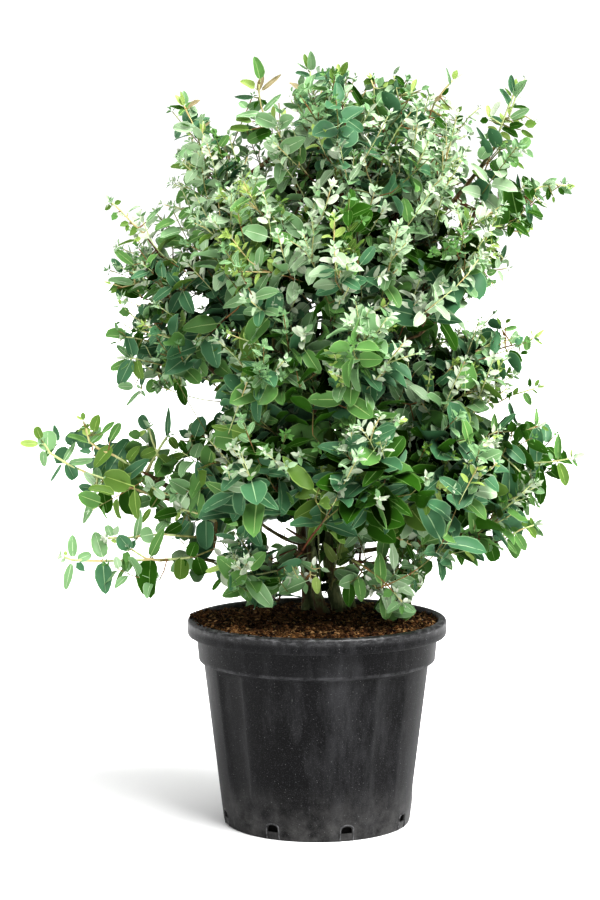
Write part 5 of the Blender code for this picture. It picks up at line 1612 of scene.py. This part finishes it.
def build_pot():
    rim_foot = POT_HEIGHT - 0.0244
    outer = [(0.1872, POT_HEIGHT - 0.0024), (0.1878, POT_HEIGHT - 0.0008), (0.1892, POT_HEIGHT)]
    outer += [(0.1950, POT_HEIGHT - 0.0002)]
    for k in range(1, 7):
        a = math.pi / 2 * k / 6
        outer.append((0.1950 + 0.0048 * math.sin(a), POT_HEIGHT - 0.0058 + 0.0056 * math.cos(a)))
    outer += [(0.1999, POT_HEIGHT - 0.0100), (0.2000, POT_HEIGHT - 0.0150), (0.1998, POT_HEIGHT - 0.0200)]
    outer += [(0.1992, rim_foot + 0.0012), (0.1982, rim_foot), (0.1972, rim_foot + 0.0006)]
    outer += [(0.1966, POT_HEIGHT - 0.0080), (0.1896, POT_HEIGHT - 0.0064), (0.1874, POT_HEIGHT - 0.0100)]
    outer += [(0.1862, rim_foot + 0.004), (0.1858, rim_foot), (0.1846, 0.2780)]
    outer += [(0.1826, COLLAR_FOOT_Z + 0.0040), (0.1825, COLLAR_FOOT_Z + 0.0016), (0.1818, COLLAR_FOOT_Z + 0.0002)]
    outer += [(0.1800, COLLAR_FOOT_Z - 0.0006), (0.1768, COLLAR_FOOT_Z - 0.0010), (0.1754, COLLAR_FOOT_Z - 0.0022)]
    levels = [0.2495, 0.2485, 0.2470, 0.2455] + list(np.linspace(0.242, 0.030, 34)) + [0.020, 0.010, 0.004]
    outer += [(wall_radius(z), z) for z in levels]
    outer += [(BASE_RADIUS - 0.0002, 0.0016), (BASE_RADIUS - 0.0016, 0.0), (0.1200, 0.0), (0.0, 0.0)]
    inner = [(0.0, 0.0034), (wall_radius(0.0034) - WALL - 0.0004, 0.0034)]
    inner += [(wall_radius(z) - WALL, z) for z in reversed(levels)]
    inner += [(0.1724, COLLAR_FOOT_Z + 0.0005), (0.1786, COLLAR_FOOT_Z + 0.0032), (0.1832, rim_foot + 0.0010)]
    verts, faces = turned(inner + outer, 288)
    mesh = bpy.data.meshes.new("pot_shell")
    mesh.from_pydata([tuple(v) for v in verts], [], [tuple(int(i) for i in f) for f in faces])
    bm = bmesh.new()
    bm.from_mesh(mesh)
    bmesh.ops.remove_doubles(bm, verts=bm.verts, dist=0.00001)
    bmesh.ops.dissolve_degenerate(bm, edges=bm.edges, dist=0.00001)
    bmesh.ops.recalc_face_normals(bm, faces=bm.faces)
    bm.to_mesh(mesh)
    bm.free()
    shell = bpy.data.objects.new("pot_shell", mesh)
    bpy.context.scene.collection.objects.link(shell)

    # The drainage openings, one cutter for all eight.
    bm = bmesh.new()
    for k in range(FLUTES):
        angle = SLOT_FIRST + k * math.pi / 4
        out = np.array((math.sin(angle), -math.cos(angle), 0.0))
        side = np.array((math.cos(angle), math.sin(angle), 0.0))
        rows = []
        for reach in (0.1300, 0.1560):
            rows.append([bm.verts.new(out * reach + side * u + UP * z) for u, z in slot_outline(0.0084, 0.0120, 0.0228)])
        n = len(rows[0])
        for i in range(n):
            j = (i + 1) % n
            bm.faces.new((rows[0][i], rows[0][j], rows[1][j], rows[1][i]))
        bm.faces.new(rows[0])
        bm.faces.new(rows[1])
    bmesh.ops.recalc_face_normals(bm, faces=bm.faces)
    holes = bpy.data.meshes.new("slots")
    bm.to_mesh(holes)
    bm.free()
    cutter = bpy.data.objects.new("slots", holes)
    bpy.context.scene.collection.objects.link(cutter)
    step = shell.modifiers.new("slots", "BOOLEAN")
    step.operation, step.solver, step.object = "DIFFERENCE", "EXACT", cutter
    graph = bpy.context.evaluated_depsgraph_get()
    done = bpy.data.meshes.new_from_object(shell.evaluated_get(graph))
    shell.modifiers.clear()
    shell.data = done
    bpy.data.objects.remove(cutter, do_unlink=True)
    done.materials.clear()
    plastic = pot_material()
    done.materials.append(plastic)
    done.polygons.foreach_set("use_smooth", np.full(len(done.polygons), True))
    done.set_sharp_from_angle(angle=math.radians(38))
    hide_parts("pot")
    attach(shell, "root")
    print("pot triangles", len(done.polygons))

    # Raised borders round the openings, running down to the base.
    tubes = Tubes()
    for k in range(FLUTES):
        angle = SLOT_FIRST + k * math.pi / 4
        line = []
        for u, z in slot_outline(0.0104, 0.0014, 0.0252, 11):
            turn = angle + u / wall_radius(z)
            r = wall_radius(z) + 0.0001
            line.append((r * math.sin(turn), -r * math.cos(turn), z))
        line, radii = smooth_line(line, np.full(len(line), 0.0011), 0.0012)
        tubes.add(line, radii, 6)
    verts, faces, index = tubes.done()
    mesh_piece("slot_borders", verts, faces, [worn_edge_material()], index)


# ---------------------------------------------------------------------- peat
def build_peat():
    soil = NODES["soil"]
    soil.data.materials.clear()
    soil.data.materials.append(peat_material(deep=True))
    peat = peat_material()
    tree = tree_of("soil")

    def mouth(z):
        return 0.1832 + (z - 0.2933) * 0.17 - 0.0006

    def ground(x, y):
        r = math.hypot(x, y)
        k = min(1.0, 0.178 / max(r, 1e-6))
        hit = tree.ray_cast(Vector((x * k, y * k, 0.5)), Vector((0, 0, -1)), 1.0)
        return hit[0].z if hit[0] else 0.308

    def heap(x, y):
        """Extra height where the peat is banked against the rim on the left."""
        r, a = math.hypot(x, y), math.degrees(math.atan2(y, x))
        off = abs((a - 178 + 180) % 360 - 180)
        return 0.0085 * max(0.0, 1 - off / 17) * max(0.0, (r - 0.158) / 0.028)

    def relief(x, y):
        at = Vector((x * 92, y * 92, 1.7))
        fine = noise.fractal(at * 2.1, 0.7, 2.1, 4)
        clod = abs(noise.noise(at * 0.55))
        return 0.0006 + 0.0052 * fine + 0.0110 * clod

    rng = np.random.default_rng(SEED + 5)
    steps, rings = 300, 88
    verts, faces = [(0.0, 0.0, ground(0, 0) + relief(0, 0))], []
    for k in range(1, rings + 1):
        r = 0.1862 * (k / rings) ** 0.92
        for s in range(steps):
            a = 2 * math.pi * s / steps
            x, y = r * math.cos(a), r * math.sin(a)
            z = ground(x, y) + relief(x, y) + heap(x, y)
            edge = min(mouth(min(z, POT_HEIGHT)), r)
            if r > edge:
                x, y = x * edge / r, y * edge / r
            verts.append((x, y, z))
    low = len(verts)
    for s in range(steps):
        a = 2 * math.pi * s / steps
        verts.append((0.1826 * math.cos(a), 0.1826 * math.sin(a), 0.2960))
    faces += [(0, 1 + s, 1 + (s + 1) % steps) for s in range(steps)]
    for k in range(rings):
        for s in range(steps):
            a, b = 1 + k * steps + s, 1 + k * steps + (s + 1) % steps
            c, d = a + steps, b + steps
            faces += [(a, c, d), (a, d, b)]
    assert low == 1 + rings * steps
    mesh_piece("peat_top", np.array(verts), np.array(faces), [peat], smooth=False)

    # Fibres, shreds and crumbs lying on it, each kind joined.
    def spot(reach=0.180):
        r, a = reach * math.sqrt(rng.random()), rng.uniform(0, 2 * math.pi)
        x, y = r * math.cos(a), r * math.sin(a)
        return x, y, ground(x, y) + relief(x, y) + heap(x, y)

    tubes = Tubes()
    for _ in range(2600):
        x, y, z = spot()
        length = rng.uniform(0.004, 0.016) * (1.5 if rng.random() < 0.08 else 1.0)
        a, tilt = rng.uniform(0, 2 * math.pi), rng.normal(0.0, 0.28)
        way = np.array((math.cos(a) * math.cos(tilt), math.sin(a) * math.cos(tilt), math.sin(tilt)))
        side = np.array((-way[1], way[0], 0.0)) * rng.normal(0, 0.35) * length
        middle = np.array((x, y, z + rng.uniform(0.0006, 0.0022)))
        ends = [middle - way * length / 2, middle + side * 0.5 + UP * 0.0006, middle + way * length / 2]
        if max(math.hypot(p[0], p[1]) for p in ends) > 0.1845:
            continue
        radius = rng.uniform(0.00035, 0.00105)
        tone = int(rng.choice(4, p=(0.26, 0.30, 0.28, 0.16)))
        tubes.add(ends, np.array((0.6, 1.0, 0.5)) * radius, 3, tone, cap=False)
    verts, faces, index = tubes.done()
    tones = (("dark", srgb(30, 17, 9)), ("brown", srgb(70, 42, 22)), ("tan", srgb(122, 84, 48)), ("straw", srgb(176, 140, 96)))
    mats = []
    for name, colour in tones:
        mat = plain(f"fibre_{name}", colour, 0.9, 0.2)
        n = Nodes(mat)
        darker = tuple(c * 0.55 for c in colour[:3]) + (1.0,)
        n.link(n.ramp(n.noise(420.0, 4.0), (0.35, darker), (0.65, colour)), n.shader.inputs["Base Color"])
        mats.append(mat)
    mesh_piece("peat_fibres", verts, faces, mats, index)

    def crumbs(name, places, low, high, tones, flat):
        corners = np.array([(1, 0, 0), (-1, 0, 0), (0, 1, 0), (0, -1, 0), (0, 0, 1), (0, 0, -1)], float)
        sides = np.array([(0, 2, 4), (2, 1, 4), (1, 3, 4), (3, 0, 4), (2, 0, 5), (1, 2, 5), (3, 1, 5), (0, 3, 5)])
        verts, faces, index = [], [], []
        for number, (x, y, z) in enumerate(places):
            size = rng.uniform(low, high)
            a = rng.uniform(0, 2 * math.pi)
            shape = corners * rng.uniform(0.6, 1.3, (6, 3)) * (1.0, rng.uniform(0.5, 1.0), flat) * size
            c, s = math.cos(a), math.sin(a)
            shape = shape @ np.array(((c, s, 0), (-s, c, 0), (0, 0, 1))) + (0, 0, 0)
            shape[:, 2] += shape[:, 0] * rng.normal(0, 0.25)
            verts.append(shape + (x, y, z + size * flat * 0.5))
            faces.append(sides + 6 * number)
            index.append(np.full(8, rng.integers(tones)))
        return np.concatenate(verts), np.concatenate(faces), np.concatenate(index)

    verts, faces, index = crumbs("peat", [spot(0.181) for _ in range(2900)], 0.0010, 0.0052, 4, 0.60)
    mesh_piece("peat_crumbs", verts, faces, mats, index, smooth=False)

    # A little peat spilt on the rim at the left, and a few crumbs beside it.
    spilt = []
    for _ in range(170):
        a = math.radians(rng.normal(178, 4.5))
        r = rng.uniform(0.1835, 0.1965)
        spilt.append((r * math.cos(a), r * math.sin(a), POT_HEIGHT + rng.uniform(-0.0005, 0.0030) * (1.2 - (r - 0.1835) / 0.013)))
    for _ in range(34):
        a = math.radians(rng.uniform(186, 250))
        r = rng.uniform(0.1885, 0.1955)
        spilt.append((r * math.cos(a), r * math.sin(a), POT_HEIGHT))
    verts, faces, index = crumbs("spilt", spilt, 0.0008, 0.0026, 3, 0.6)
    mesh_piece("spilt_peat", verts, faces, mats[:3], index, smooth=False)

    white = plain("perlite_looks", srgb(214, 206, 190), 0.85, 0.3)
    n = Nodes(white)
    n.link(n.ramp(n.noise(700.0, 3.0), (0.35, srgb(168, 156, 136)), (0.60, srgb(226, 220, 206))), n.shader.inputs["Base Color"])
    verts, faces, index = crumbs("perlite", [spot(0.176) for _ in range(95)], 0.0006, 0.0017, 1, 0.8)
    mesh_piece("perlite", verts, faces, [white], index, smooth=False)


# ------------------------------------------------------------ floor and light
def build_stage():
    bpy.ops.mesh.primitive_plane_add(size=120, location=(0, 0, 0))
    floor = bpy.context.object
    floor.name = "floor"
    floor.data.materials.append(plain("floor_white", (0.88, 0.88, 0.88, 1.0), 1.0, 0.0))

    # Soft surroundings, white along the skyline and greyer above it.
    world = bpy.data.worlds.new("studio")
    bpy.context.scene.world = world
    world.use_nodes = True
    tree = world.node_tree
    back = tree.nodes["Background"]
    where = tree.nodes.new("ShaderNodeTexCoord")
    split = tree.nodes.new("ShaderNodeSeparateXYZ")
    fade = tree.nodes.new("ShaderNodeValToRGB")
    tree.links.new(where.outputs["Generated"], split.inputs["Vector"])
    tree.links.new(split.outputs["Z"], fade.inputs["Fac"])
    tree.links.new(fade.outputs["Color"], back.inputs["Color"])
    marks = fade.color_ramp.elements
    while len(marks) < 4:
        marks.new(0.5)
    for mark, (place, value) in zip(marks, ((0.12, 1.0), (0.17, 0.31), (0.55, 0.33), (0.95, 0.80))):
        mark.position = place
        mark.color = (value, value, value, 1.0)
    back.inputs["Strength"].default_value = 1.15

    for name, turn, rise, angle, power in (
        ("key", 50.0, 56.0, 42.0, 6.3),
        ("fill", -62.0, 60.0, 60.0, 0.6),
        ("top", 160.0, 78.0, 60.0, 1.3),
    ):
        light = bpy.data.lights.new(name, "SUN")
        light.angle = math.radians(angle)
        light.energy = power
        obj = bpy.data.objects.new(name, light)
        bpy.context.scene.collection.objects.link(obj)
        a, b = math.radians(turn), math.radians(rise)
        away = Vector((math.sin(a) * math.cos(b), -math.cos(a) * math.cos(b), math.sin(b)))
        obj.location = away * 4
        obj.rotation_euler = away.to_track_quat("Z", "Y").to_euler()


def build_camera():
    data = bpy.data.cameras.new("camera")
    data.lens = LENS
    data.sensor_width = 36.0
    camera = bpy.data.objects.new("camera", data)
    camera.location = EYE
    camera.rotation_euler = (math.pi / 2 - PITCH, 0, 0)
    bpy.context.scene.collection.objects.link(camera)
    bpy.context.scene.camera = camera
    bpy.context.scene.view_settings.view_transform = "Standard"
    bpy.context.scene.view_settings.gamma = 0.82


build_camera()
build_stage()
build_pot()
build_peat()
build_limbs()
build_foliage()
